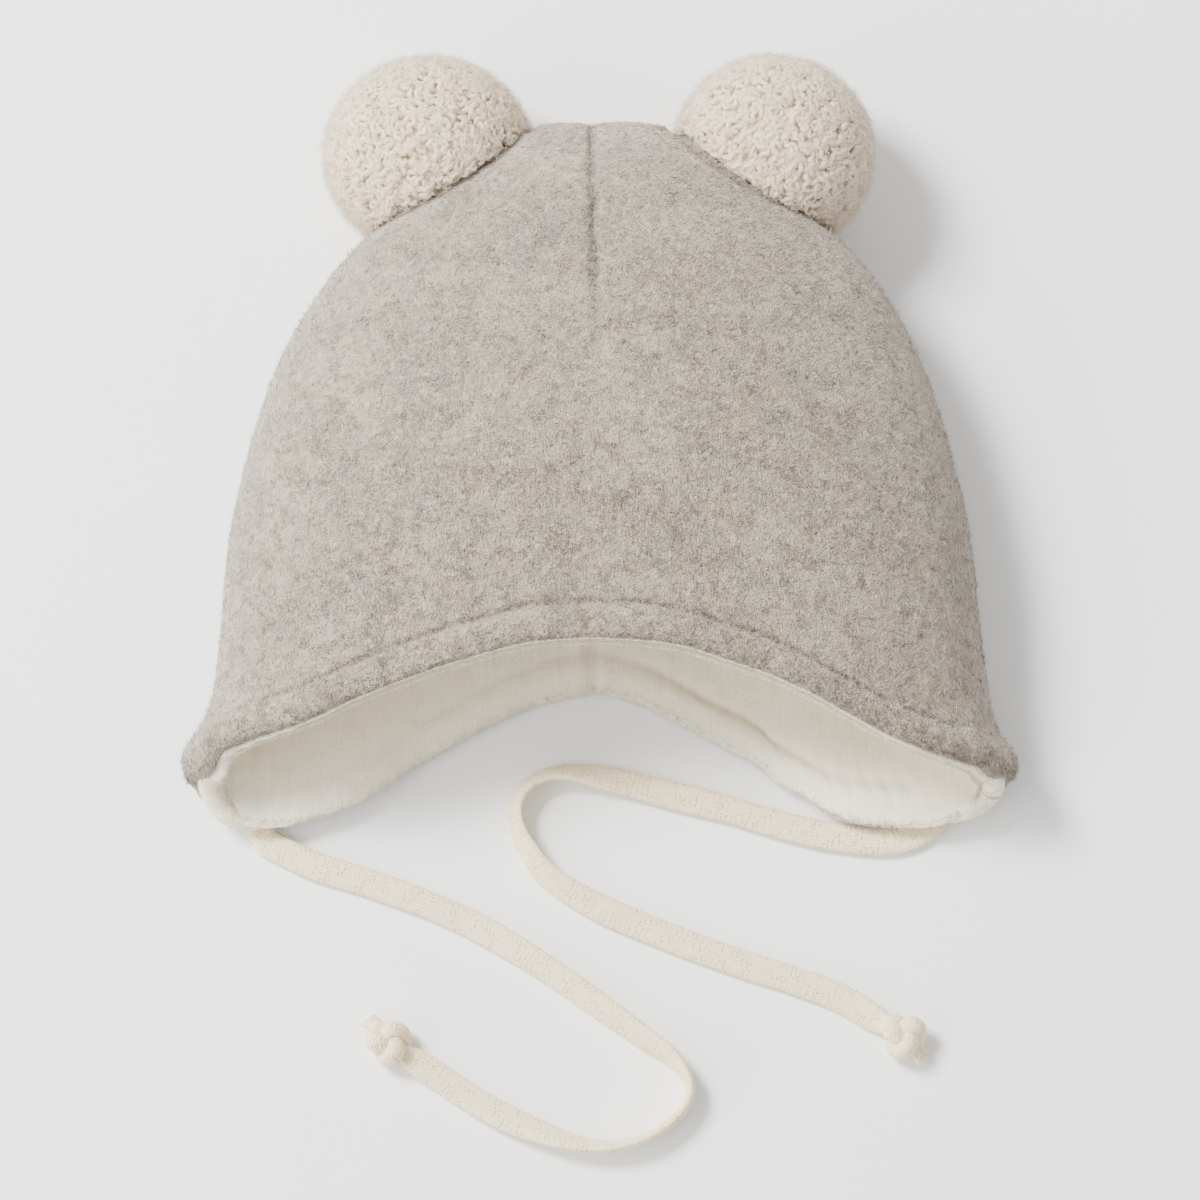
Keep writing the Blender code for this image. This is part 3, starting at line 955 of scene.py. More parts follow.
@dataclass
class Knot:
    """The overhand knot at the end of a tie, pulled tight, with a short tail."""

    side: Side
    strand: float = 0.00225
    strand_flat: float = 0.92
    strand_wide: float = 1.10
    strand_uneven: float = 0.07
    spread: float = 0.00118
    rise: float = 0.00180
    skew: float = 0.35
    gap: float = 0.0047
    clearance: float = 0.0001
    lowest: float = 0.00005
    tail_start: float = 0.0020
    tail_length: float = 0.0028
    tail_width: float = 0.0040
    tail_thickness: float = 0.0026
    tail_top: float = 0.0038
    tail_low: float = 0.0016
    tail_turn: float = math.radians(-15)
    tail_rows: int = 14
    turns: int = 120
    sides: int = 14

    def build(self, end: np.ndarray, heading: np.ndarray, knit: bpy.types.Material) -> bpy.types.Object:
        """Make the knot at the end of the band.

        Args:
            end: The end of the band's middle line.
            heading: The band's direction there.
            knit: What it is made of.

        Returns:
            The knot, with its tail joined to it.
        """
        middle = np.array([end[0] + heading[0] * self.gap, end[1] + heading[1] * self.gap, 0.0])
        angle = math.atan2(heading[1], heading[0])
        body = self.loops(middle, angle)
        tail = self.tail(middle, angle + self.tail_turn)
        Bench.pick(body)
        tail.select_set(True)
        bpy.ops.object.join()
        Bench.finish(body, knit, Slot.KNIT)
        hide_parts("knot_%s" % self.side.word)
        return body

    def loops(self, middle: np.ndarray, angle: float) -> bpy.types.Object:
        """Make the crossed loops of the knot as one closed tube.

        Args:
            middle: The knot's middle on the floor.
            angle: The tie's heading in radians.

        Returns:
            The tube.
        """
        t = girth(self.turns)
        x = self.spread * (np.sin(t) + 2 * np.sin(2 * t))
        y = self.spread * (np.cos(t) - 2 * np.cos(2 * t))
        turn = np.array(Matrix.Rotation(angle + self.skew * self.side.value, 3, "Z"))
        line = np.stack([x, y, -self.rise * np.sin(3 * t)], axis=1) @ turn.T
        heading = unit(np.roll(line[:-1], -1, axis=0) - np.roll(line[:-1], 1, axis=0))
        heading = np.vstack([heading, heading[:1]])
        outwards = unit(line)
        outwards = unit(outwards - heading * (outwards * heading).sum(axis=1)[:, None])
        beside = np.cross(heading, outwards)
        round_it = girth(self.sides)
        thick = self.strand * (1 + self.strand_uneven * np.sin(5 * t))[:, None, None]
        ring = np.cos(round_it)[None, :, None] * outwards[:, None] * self.strand_flat
        ring = ring + np.sin(round_it)[None, :, None] * beside[:, None] * self.strand_wide
        lifted = np.array([middle[0], middle[1], self.rise + self.strand + self.clearance])
        return self.tube("loops", line[:, None] + ring * thick + lifted)

    def tail(self, middle: np.ndarray, angle: float) -> bpy.types.Object:
        """Make the short end of the band that sticks out of the knot and comes down to the floor.

        Args:
            middle: The knot's middle on the floor.
            angle: The way the tail points, in radians.

        Returns:
            The tail.
        """
        share = np.linspace(0.0, 1.0, self.tail_rows)
        reach = self.tail_start + (self.gap + self.tail_length - self.tail_start) * share
        high = self.tail_top + (self.tail_low - self.tail_top) * ease(share, 0.0, 0.9)
        ahead = np.array([math.cos(angle), math.sin(angle), 0.0])
        beside = np.array([-ahead[1], ahead[0], 0.0])
        line = middle + ahead * reach[:, None] + UP * high[:, None]
        round_it = girth(self.sides)
        at_end = share > 0.97
        wide = 0.5 * self.tail_width * (0.86 + 0.14 * share) * np.where(at_end, 0.85, 1.0)
        thick = 0.5 * self.tail_thickness * np.where(at_end, 0.75, 1.0)
        points = line[:, None] + beside * (np.cos(round_it)[None, :] * wide[:, None])[..., None]
        points = points + UP * (np.sin(round_it)[None, :] * thick[:, None])[..., None]
        return self.tube("tail", capped(points, line))

    def tube(self, part: str, points: np.ndarray) -> bpy.types.Object:
        """Lay a closed tube off the floor, with the knit's map in metres from its place there.

        Args:
            part: The last word of its name.
            points: Its rings of points.

        Returns:
            The tube.
        """
        points[..., 2] = np.maximum(points[..., 2], self.lowest)
        piece = Bench.lattice("knot_%s_%s" % (self.side.word, part), points, {})
        x, y, z = Bench.coordinates(piece).T
        Bench.lay_map(piece, np.stack([x + 0.6 * z, y - 0.5 * z], axis=1))
        return piece


class Section(IntEnum):
    """The columns of the table of the hat's sections, after the share of the length."""

    LEFT_WIDTH = 1
    RIGHT_WIDTH = 2
    FRONT_HEIGHT = 3
    FOLD_HEIGHT = 4
    LOW_HEIGHT = 5


class Rim(IntEnum):
    """The columns of the table of the brim's edge, after the share of the half width."""

    FRONT_LEFT = 1
    FRONT_RIGHT = 2
    BACK_LEFT = 3
    BACK_RIGHT = 4


@dataclass
class HatForm:
    """The hat's own shape: sections from the brim's corner to the crown, and the brim's edge."""

    crown_reach: float = 0.0708
    corner_reach: float = 0.0820
    body_width: float = 0.1760
    front_height: float = 0.0560
    fold_height: float = 0.0200
    front_arch: float = 0.0248
    back_arch: float = 0.0216
    flap_drop: float = 0.0110
    flap_rise: float = 0.0030
    hem_width: float = 0.0080
    nose_left: float = 0.0042
    nose_right: float = 0.0026
    nose_round: float = 0.60
    corner_turn: float = 0.18
    corner_reads: int = 13
    corner_width: float = 0.10
    flap_lift_length: float = 0.0220
    flap_inner: float = 0.40
    flap_full: float = 0.65
    past_flaps: float = 0.05
    flat_turn: float = math.radians(48)
    flat_share: float = 0.444
    band: float = 0.0120
    band_rows: int = 19
    side_rows: int = 31
    crown_rows: int = 58
    crown_crowding: float = 1.35
    smoothings: int = 14
    front_columns: int = 200
    back_columns: int = 220
    sections: tuple = (
        (0.000, 1.082, 1.084, 0.857, 0.60, 0.00),
        (0.018, 1.101, 1.102, 0.860, 0.62, 0.00),
        (0.045, 1.096, 1.078, 0.866, 0.65, 0.00),
        (0.076, 1.058, 1.043, 0.875, 0.68, 0.00),
        (0.107, 1.029, 1.034, 0.885, 0.72, 0.00),
        (0.177, 1.012, 1.016, 0.910, 0.77, 0.00),
        (0.259, 1.000, 1.000, 0.940, 0.85, 0.00),
        (0.352, 0.987, 0.987, 0.975, 0.90, 0.00),
        (0.444, 0.954, 0.952, 0.995, 0.93, 0.00),
        (0.537, 0.912, 0.912, 1.000, 0.95, 0.00),
        (0.630, 0.856, 0.856, 0.985, 1.00, 0.00),
        (0.724, 0.765, 0.772, 0.950, 1.05, 0.00),
        (0.815, 0.640, 0.650, 0.890, 1.10, 0.02),
        (0.894, 0.465, 0.470, 0.800, 1.15, 0.10),
        (0.944, 0.335, 0.340, 0.700, 1.20, 0.30),
        (0.985, 0.200, 0.200, 0.575, 1.22, 0.65),
        (0.998, 0.090, 0.090, 0.495, 1.24, 0.95),
        (1.000, 0.000, 0.000, 0.443, 1.24, 1.24),
    )
    edges: tuple = (
        (0.00, 1.000, 1.000, 1.000, 1.000),
        (0.10, 0.988, 0.978, 0.926, 0.866),
        (0.20, 0.942, 0.928, 0.787, 0.648),
        (0.30, 0.841, 0.812, 0.574, 0.402),
        (0.40, 0.733, 0.690, 0.324, 0.155),
        (0.50, 0.603, 0.531, 0.055, -0.300),
        (0.60, 0.466, 0.336, -0.482, -0.820),
        (0.70, 0.307, 0.156, -0.800, -0.985),
        (0.80, 0.199, 0.026, -0.980, -0.990),
        (0.87, 0.134, -0.032, -0.980, -0.880),
        (0.93, 0.069, -0.054, -0.830, -0.665),
        (0.97, 0.033, -0.032, -0.480, -0.455),
        (1.00, 0.000, 0.000, 0.000, 0.000),
    )

    @property
    def length(self) -> float:
        """The way from the brim's corner to the crown."""
        return self.crown_reach + self.corner_reach

    @staticmethod
    def read(table: tuple, column: int, at: np.ndarray) -> np.ndarray:
        """Read a column of a table smoothly at values of its first column.

        Args:
            table: The table's rows.
            column: The column to read.
            at: Values of the first column.

        Returns:
            The values between the rows.
        """
        rows = np.array(table)
        keys, values = rows[:, 0], rows[:, column]
        slopes = np.gradient(values, keys)
        place = np.clip(np.searchsorted(keys, at, side="right") - 1, 0, len(keys) - 2)
        span = keys[place + 1] - keys[place]
        t = (at - keys[place]) / span
        made = (2 * t**3 - 3 * t**2 + 1) * values[place] + (3 * t**2 - 2 * t**3) * values[place + 1]
        return made + (t**3 - 2 * t**2 + t) * span * slopes[place] + (t**3 - t**2) * span * slopes[place + 1]

    def by_side(self, table: tuple, left: int, right: int, at: np.ndarray, across: np.ndarray) -> np.ndarray:
        """Read one column of a table on the hat's left and another on its right."""
        return np.where(across > 0, self.read(table, right, at), self.read(table, left, at))

    def turns(self) -> np.ndarray:
        """Return the angle of each column, from the right fold over the front and under the back.

        Returns:
            Angles in radians; the last column repeats the first.
        """
        front = np.linspace(0.0, math.pi, self.front_columns + 1)
        back = np.linspace(math.pi, 2 * math.pi, self.back_columns + 1)
        return np.concatenate([front, back[1:]])

    def brim(self, turn: np.ndarray) -> np.ndarray:
        """Return how far along Y the brim's edge lies in each column, with its two corners rounded.

        Args:
            turn: The angle of each column.

        Returns:
            Places along Y.
        """
        shifts = np.linspace(-self.corner_turn, self.corner_turn, self.corner_reads)
        weights = bell(shifts, self.corner_width)
        rounded = sum(w * self.edge(turn + shift) for w, shift in zip(weights, shifts)) / weights.sum()
        share = ease(np.abs(np.cos(turn)), 0.90, 0.97)
        return self.edge(turn) * (1 - share) + rounded * share

    def edge(self, turn: np.ndarray) -> np.ndarray:
        """Return how far along Y the brim's edge lies, straight from the table.

        Args:
            turn: The angle of each column.

        Returns:
            Places along Y.
        """
        across = np.cos(turn)
        wide = np.abs(across)
        front = self.by_side(self.edges, Rim.FRONT_LEFT, Rim.FRONT_RIGHT, wide, across)
        back = self.by_side(self.edges, Rim.BACK_LEFT, Rim.BACK_RIGHT, wide, across)
        below = back * np.where(back > 0, self.back_arch, self.flap_drop)
        on_front = np.sin(turn) >= -1e-9
        nose = np.where(on_front, ease(wide, 0.915, 0.965), ease(wide, 0.950, 1.0))
        nose = nose - self.nose_round * ease(wide, 0.970, 1.0)
        nose = nose * np.where(across > 0, self.nose_right, self.nose_left)
        return -self.corner_reach - nose + np.where(on_front, self.front_arch * front, below)

    def points(self, turn: np.ndarray, y: np.ndarray, share: np.ndarray, edge: np.ndarray) -> np.ndarray:
        """Return the hat's outside.

        Args:
            turn: The angle of each column.
            y: The place along Y.
            share: The share of the length whose section holds there.
            edge: The distance from the brim's edge.

        Returns:
            Points, with their three coordinates last.
        """
        across = np.cos(turn)
        wide = self.by_side(self.sections, Section.LEFT_WIDTH, Section.RIGHT_WIDTH, share, across)
        x = 0.5 * self.body_width * wide * across
        fold = self.fold_height * self.read(self.sections, Section.FOLD_HEIGHT, share)
        front = self.front_height * self.read(self.sections, Section.FRONT_HEIGHT, share)
        low = self.fold_height * np.maximum(0.0, self.read(self.sections, Section.LOW_HEIGHT, share))
        on_flap = self.fade(self.flap_full - np.abs(across), self.flap_full - self.flap_inner)
        low = low + self.flap_rise * on_flap * self.fade(edge - self.hem_width, self.flap_lift_length)
        under = np.arcsin(np.clip(-np.sin(turn), 0.0, 1.0))
        drop = np.sin(np.minimum(1.0, under / self.flat_turn) * math.pi / 2)
        above = fold + (front - fold) * np.sin(turn)
        z = np.where(np.sin(turn) >= 0, above, low + (fold - low) * (1 - drop))
        return np.stack(np.broadcast_arrays(x, y, z), axis=-1)

    @staticmethod
    def fade(distance: np.ndarray, width: float) -> np.ndarray:
        """Return 1 at no distance and 0 from the width on, with a smooth run between."""
        share = np.clip(distance / width, 0.0, 1.0)
        return 0.5 + 0.5 * np.cos(math.pi * share)

    def cloth(self, start: float) -> Cloth:
        """Lay the hat's outside out as rows from the brim to the crown.

        Args:
            start: The first row's distance from the brim's edge; below 0 it lies past the edge.

        Returns:
            The rows, with what the two layers of cloth need to know of them.
        """
        turn = self.turns()
        edge = self.brim(turn)
        flat_y = -self.corner_reach + self.flat_share * self.length
        rows, gone = [], []

        def lay(share: float, y: np.ndarray, away: np.ndarray, past: float = 0.0) -> None:
            """Add a row at a share of the length, with its places along Y and its way from the edge."""
            rows.append(self.points(turn, y, np.full_like(turn, share), away + past))
            gone.append(away)

        for distance in np.linspace(start, self.band, self.band_rows):
            lay(max(0.0, distance) / self.length, edge + distance, np.full_like(turn, distance))
        for mix in np.linspace(0.0, 1.0, self.side_rows)[1:-1]:
            share = (self.band + (flat_y + self.corner_reach - self.band) * mix) / self.length
            y = edge + self.band + (flat_y - edge - self.band) * mix
            lay(share, y, y - edge)
        steps = np.linspace(0.0, 1.0, self.crown_rows)
        for share in self.flat_share + (1 - self.flat_share) * (1 - (1 - steps) ** self.crown_crowding):
            y = np.full_like(turn, -self.corner_reach + share * self.length)
            lay(share, y, y - edge, self.past_flaps)
        base = np.array(rows)
        for _ in range(self.smoothings):
            base[3:-7] = 0.25 * base[2:-8] + 0.5 * base[3:-7] + 0.25 * base[4:-6]
        base[:, -1] = base[:, 0]
        return Cloth.laid(base, np.array(gone), turn)


@dataclass
class Cloth:
    """The hat's outside as rows of points, with normals and places on the pattern."""

    base: np.ndarray
    normal: np.ndarray
    outwards: np.ndarray
    from_edge: np.ndarray
    turn: np.ndarray
    run: np.ndarray

    FOLD_LIFT = 0.0035
    FOLD_INSET = 0.0170
    EDGE_ROWS = 9

    @classmethod
    def laid(cls, base: np.ndarray, from_edge: np.ndarray, turn: np.ndarray) -> Cloth:
        """Work out the normals and the run along the brim for rows of points.

        Args:
            base: The rows of points.
            from_edge: How far each lies from the brim's edge.
            turn: The angle of each column.

        Returns:
            The cloth.
        """
        body = base[:, :-1]
        along = np.roll(body, -1, axis=1) - np.roll(body, 1, axis=1)
        up = np.gradient(body, axis=0)
        normal = np.cross(along, up)
        size = np.linalg.norm(normal, axis=2)[..., None]
        normal = normal / np.maximum(size, 1e-15)
        tip = normal[-3].mean(axis=0)
        normal[-1] = tip / np.linalg.norm(tip)
        normal[-2] = normal[-2] * 0.5 + normal[-1] * 0.5
        if normal[len(normal) // 2, body.shape[1] // 3, 2] < 0:
            normal = -normal
        normal = np.concatenate([normal, normal[:, :1]], axis=1)
        normal = cls.eased(base, normal, turn)
        steps = np.linalg.norm(np.diff(base[0], axis=0), axis=1)
        run = np.concatenate([[0.0], np.cumsum(steps)])
        return cls(base, normal, unit(base[0] - base[2]), from_edge, turn, run)

    @classmethod
    def eased(cls, base: np.ndarray, normal: np.ndarray, turn: np.ndarray) -> np.ndarray:
        """Turn the normals round a side fold's middle, so that thick cloth doesn't cross itself there.

        Args:
            base: The rows of points.
            normal: Their normals.
            turn: The angle of each column.

        Returns:
            The directions in which the cloth has its thickness.
        """
        half = int(np.argmin(np.abs(turn - math.pi)))
        across = np.cos(turn)[None, :]
        right = across > 0
        reach = np.where(right, base[:, :1, 0], -base[:, half : half + 1, 0])
        level = np.where(right, base[:, :1, 2], base[:, half : half + 1, 2]) + cls.FOLD_LIFT
        inner = np.sign(across) * np.maximum(reach - cls.FOLD_INSET, 0.0)
        away = np.stack([base[..., 0] - inner, np.zeros_like(level), base[..., 2] - level], axis=-1)
        away = away / np.maximum(np.linalg.norm(away, axis=2), 1e-9)[..., None]
        share = ease(np.abs(across), 0.80, 0.97) * ease(reach, 0.030, 0.050)
        return unit(normal * (1 - share)[..., None] + away * share[..., None])

    def corner(self, front: float, back: float) -> np.ndarray:
        """Return 1 at the brim's two corners, and 0 where the width falls below a share of it.

        Args:
            front: The share below which the front has 0.
            back: The same for the back.

        Returns:
            The value for each column.
        """
        across = np.abs(np.cos(self.turn))
        low = np.where(np.sin(self.turn) >= 0, front, back)
        return ease(across, low, 0.995)[None, :]

    @property
    def front(self) -> np.ndarray:
        """1 on the front, 0 on the back, with a run between near the side folds."""
        return ease(np.sin(self.turn), 0.0, 0.35)[None, :]

    def rim(
        self, faces: np.ndarray, lip: float, level: float, count: int, seed: int
    ) -> tuple[np.ndarray, np.ndarray]:
        """Spread the roots of hairs over the rounded edge of the brim.

        Args:
            faces: How far the seen and the hidden face lie off the rows.
            lip: How far the edge reaches past the first row.
            level: The lowest sine of a column's angle; 0 is the side fold and -1 is under the back.
            count: How many roots.
            seed: Makes the spread the same in each run.

        Returns:
            The roots and the directions in which the edge faces there.
        """
        dice = np.random.default_rng(seed)
        column = dice.choice(np.flatnonzero(np.sin(self.turn[:-1]) >= level), count)
        share = dice.uniform(size=(count, 1))
        seen, hidden = (self.base[0] + self.normal[0] * face[0][:, None] for face in faces)
        middle, arm = 0.5 * (seen + hidden), 0.5 * (seen - hidden)
        bend = dice.uniform(-0.2, 2.1, (count, 1))

        def mixed(values: np.ndarray) -> np.ndarray:
            """Read values between two columns."""
            return values[column] * (1 - share) + values[column + 1] * share

        side, past = mixed(arm), mixed(self.outwards)
        points = mixed(middle) + side * np.cos(bend) + past * np.maximum(0.0, lip * np.sin(bend))
        return points, unit(side) * np.cos(bend) + past * np.sin(bend)

    def wall(
        self, name: str, near: np.ndarray, far: np.ndarray, lip: np.ndarray, crease_shade: np.ndarray, thin: int = 3
    ) -> bpy.types.Object:
        """Close two faces of cloth into one piece with a rounded edge.

        Args:
            name: The new piece's name.
            near: How far the seen face lies off the rows, along the normals.
            far: The same for the hidden face.
            lip: How far the rounded edge reaches past the first row, for each column.
            crease_shade: The painted shade that the piece carries in its creases.
            thin: The hidden face keeps one row in so many.

        Returns:
            The new piece.
        """
        seen = self.base + self.normal * near[..., None]
        hidden = self.base + self.normal * far[..., None]
        keep = sorted(set(range(0, len(hidden), thin)) | {1, 2, len(hidden) - 2, len(hidden) - 1})
        middle = 0.5 * (seen[0] + hidden[0])
        arm = 0.5 * (seen[0] - hidden[0])
        rounds = [
            middle + arm * math.cos(bend) + self.outwards * (lip * math.sin(bend))[:, None]
            for bend in np.linspace(math.pi, 0.0, self.EDGE_ROWS)[1:-1]
        ]
        rows = np.concatenate([hidden[keep][::-1], np.array(rounds), seen])
        rows[:, -1] = rows[:, 0]
        rows[..., 2] = np.maximum(rows[..., 2], 0.0)
        # The seen face carries the painted shade of its creases; the hidden face and the rounded edge carry
        # none.
        uncreased = np.zeros((len(rows) - len(crease_shade), rows.shape[1]))
        rows[0] = rows[0].mean(axis=0)
        rows[-1] = rows[-1].mean(axis=0)
        return Bench.lattice(name, rows, {"crease_shade": np.concatenate([uncreased, crease_shade])})


@dataclass
class OuterShell:
    """The wool outside: a turned and stitched hem, and the dart at the centre of the front."""

    form: HatForm
    ears: list[Place]
    wall: float = 0.0018
    lip: float = 0.0009
    corner_lip: float = 0.0007
    corner_wall: float = 0.0015
    corner_run: float = 0.0100
    corner_puff: float = 0.0005
    hem: float = 0.0080
    hem_wander: float = 0.0005
    hem_wander_size: float = 0.009
    groove_depth: float = 0.0008
    groove_width: float = 0.0008
    stitch: float = 0.0034
    stitch_depth: float = 0.00016
    stitch_reach: float = 0.0030
    puff: float = 0.0006
    puff_place: float = 0.0040
    puff_width: float = 0.0026
    dart_top: float = -0.0021
    dart_foot: float = -0.0008
    dart_length: float = 0.0660
    dart_depth: float = 0.0017
    dart_dip: float = 0.0052
    dart_wander: float = 0.0004
    seam_width: float = 0.00075
    seam_shade_width: float = 0.0012
    shoulder_place: float = 0.0026
    shoulder_width: float = 0.0016
    shoulder_height: float = 0.00020
    seat_depth: float = 0.0008
    seat_sizes: Place = (0.0240, 0.0232, 0.0200)
    seat_scale: float = 0.0230
    seat_place: float = 0.0006
    seat_width: float = 0.0019
    hairs: int = 54000
    hair_seed: int = 21
    brim_hairs: int = 8000
    brim_seed: int = 23
    brim_reach: float = 0.0010
    brim_level: float = -0.10

    def relief(self, cloth: Cloth) -> tuple[np.ndarray, np.ndarray]:
        """Work out the relief of the wool and the painted shade in its creases.

        Args:
            cloth: The rows of the hat's outside.

        Returns:
            The height at each point, and the painted shade in the hem's groove, along the dart's seam and at
            the ears' seats.
        """
        away = cloth.from_edge
        run = cloth.run[None, :]
        wander = line_lumps(run, self.hem_wander_size)
        line = self.hem + self.hem_wander * wander
        middle = ease(np.sin(cloth.turn), 0.40, 0.75)[None, :]
        strength = 0.70 + 0.30 * ease(wander, -0.5, 0.4)
        groove = bell(away - line, self.groove_width) * middle * strength
        pull = np.sin(2 * math.pi * run / self.stitch + 3 * wander)
        pull = pull * bell(away - line, self.stitch_reach) * middle
        height = cloth.front * self.puff * bell(away - self.puff_place, self.puff_width)
        height = height - self.groove_depth * groove + self.stitch_depth * pull
        dart, dart_shade = self.dart(cloth)
        height = height - dart
        bumps = rough(cloth.base, (0.0034, 7.0, 0.00020), (0.0016, 3.0, 0.00014))
        off_floor = ease(cloth.base[..., 2], 0.0006, 0.0040)
        tufts = 1 + 1.6 * bell(np.maximum(0.0, away - 0.002), 0.006)
        height = height + bumps * tufts
        height = height + self.corner_puff * cloth.corner(0.86, 0.92) * bell(away - 0.002, 0.006)
        seats = self.seats(cloth)
        height = height - self.seat_depth * seats
        # The second value is painted shade in the hem's groove, along the dart's seam and round the ears'
        # seats.
        return height * off_floor, np.clip(groove * 1.1 + dart_shade + seats, 0.0, 1.0)

    def seats(self, cloth: Cloth) -> np.ndarray:
        """Return where the ears are sewn on: the mark dents the wool and paints shade in the gap under each
        ear.

        Args:
            cloth: The rows of the hat's outside.

        Returns:
            The mark at each point.
        """
        mark = np.zeros(cloth.base.shape[:2])
        for middle in self.ears:
            off = (cloth.base - np.array(middle)) / self.seat_sizes
            gap = (np.linalg.norm(off, axis=2) - 1.0) * self.seat_scale
            # One mark for the dent and for the painted shadow under the ear.
            mark = np.maximum(mark, bell(gap - self.seat_place, self.seat_width))
        return mark

    def thickness(self, cloth: Cloth) -> np.ndarray:
        """Return how thick the wool is: its turned hem is fullest at the brim's corners."""
        fade = bell(np.maximum(0.0, cloth.from_edge - 0.0020), self.corner_run)
        return self.wall + self.corner_wall * cloth.corner(0.92, 0.93) * fade

    def dart(self, cloth: Cloth) -> tuple[np.ndarray, np.ndarray]:
        """Work out the depth of the dart and the painted shade along its seam.

        Args:
            cloth: The rows of the hat's outside.

        Returns:
            The depth and the painted shade at each point.
        """
        x, y = cloth.base[..., 0], cloth.base[..., 1]
        down = (self.form.crown_reach - y) / self.dart_length
        fade = (1 - ease(down, 0.55, 1.0)) * cloth.front
        line = self.dart_top + (self.dart_foot - self.dart_top) * np.clip(down, 0.0, 1.0)
        wander = lumps(np.stack([0 * y, y, 0 * y], axis=-1), 0.007, 2.0)
        off = x - line - self.dart_wander * wander
        seam = bell(off, self.seam_width) * fade
        shoulders = bell(np.abs(off) - self.shoulder_place, self.shoulder_width) * fade
        depth = self.dart_depth * (0.65 * seam + 0.50 * bell(off, self.dart_dip) * fade)
        # Painted shade along the dart's seam.
        mark = 1.3 * bell(off, self.seam_shade_width) * fade * (0.65 + 0.35 * ease(wander, -0.3, 0.4))
        return depth - self.shoulder_height * shoulders, mark

    def build(self, wool: bpy.types.Material) -> tuple[Cloth, np.ndarray]:
        """Make the outside of the hat.

        Args:
            wool: What it is made of.

        Returns:
            The rows that it was made from, and where its two faces lie.
        """
        cloth = self.form.cloth(0.5 * self.wall)
        height, crease_shade = self.relief(cloth)
        far = -self.thickness(cloth)
        ragged = rough(cloth.base[0], (0.0030, 5.0, 0.50), (0.0012, 8.0, 0.35))
        lip = self.lip * (1.15 + ragged) + self.corner_lip * cloth.corner(0.90, 0.92)[0]
        piece = cloth.wall("wool_shell", height, far, lip, crease_shade)
        Bench.finish(piece, wool, Slot.WOOL)
        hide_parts("outer_shell")
        return cloth, np.stack([height, far])

    def hair_roots(self, cloth: Cloth, faces: np.ndarray) -> list[tuple[np.ndarray, np.ndarray]]:
        """Spread the roots of loose hairs over the front, denser at the hem, and along the brim.

        Args:
            cloth: The rows of the hat's outside.
            faces: How far the seen and the hidden face lie off the rows.

        Returns:
            The roots and their normals, for the front and for the brim.
        """
        dense = ease(np.sin(cloth.turn), -0.20, 0.05)[None, :] * np.ones_like(faces[0])
        dense = dense * (1 + 1.6 * bell(np.maximum(0.0, cloth.from_edge - 0.001), 0.005))
        front = scattered(cloth, faces[0], dense, self.hairs, self.hair_seed)
        return [front, cloth.rim(faces, self.brim_reach, self.brim_level, self.brim_hairs, self.brim_seed)]


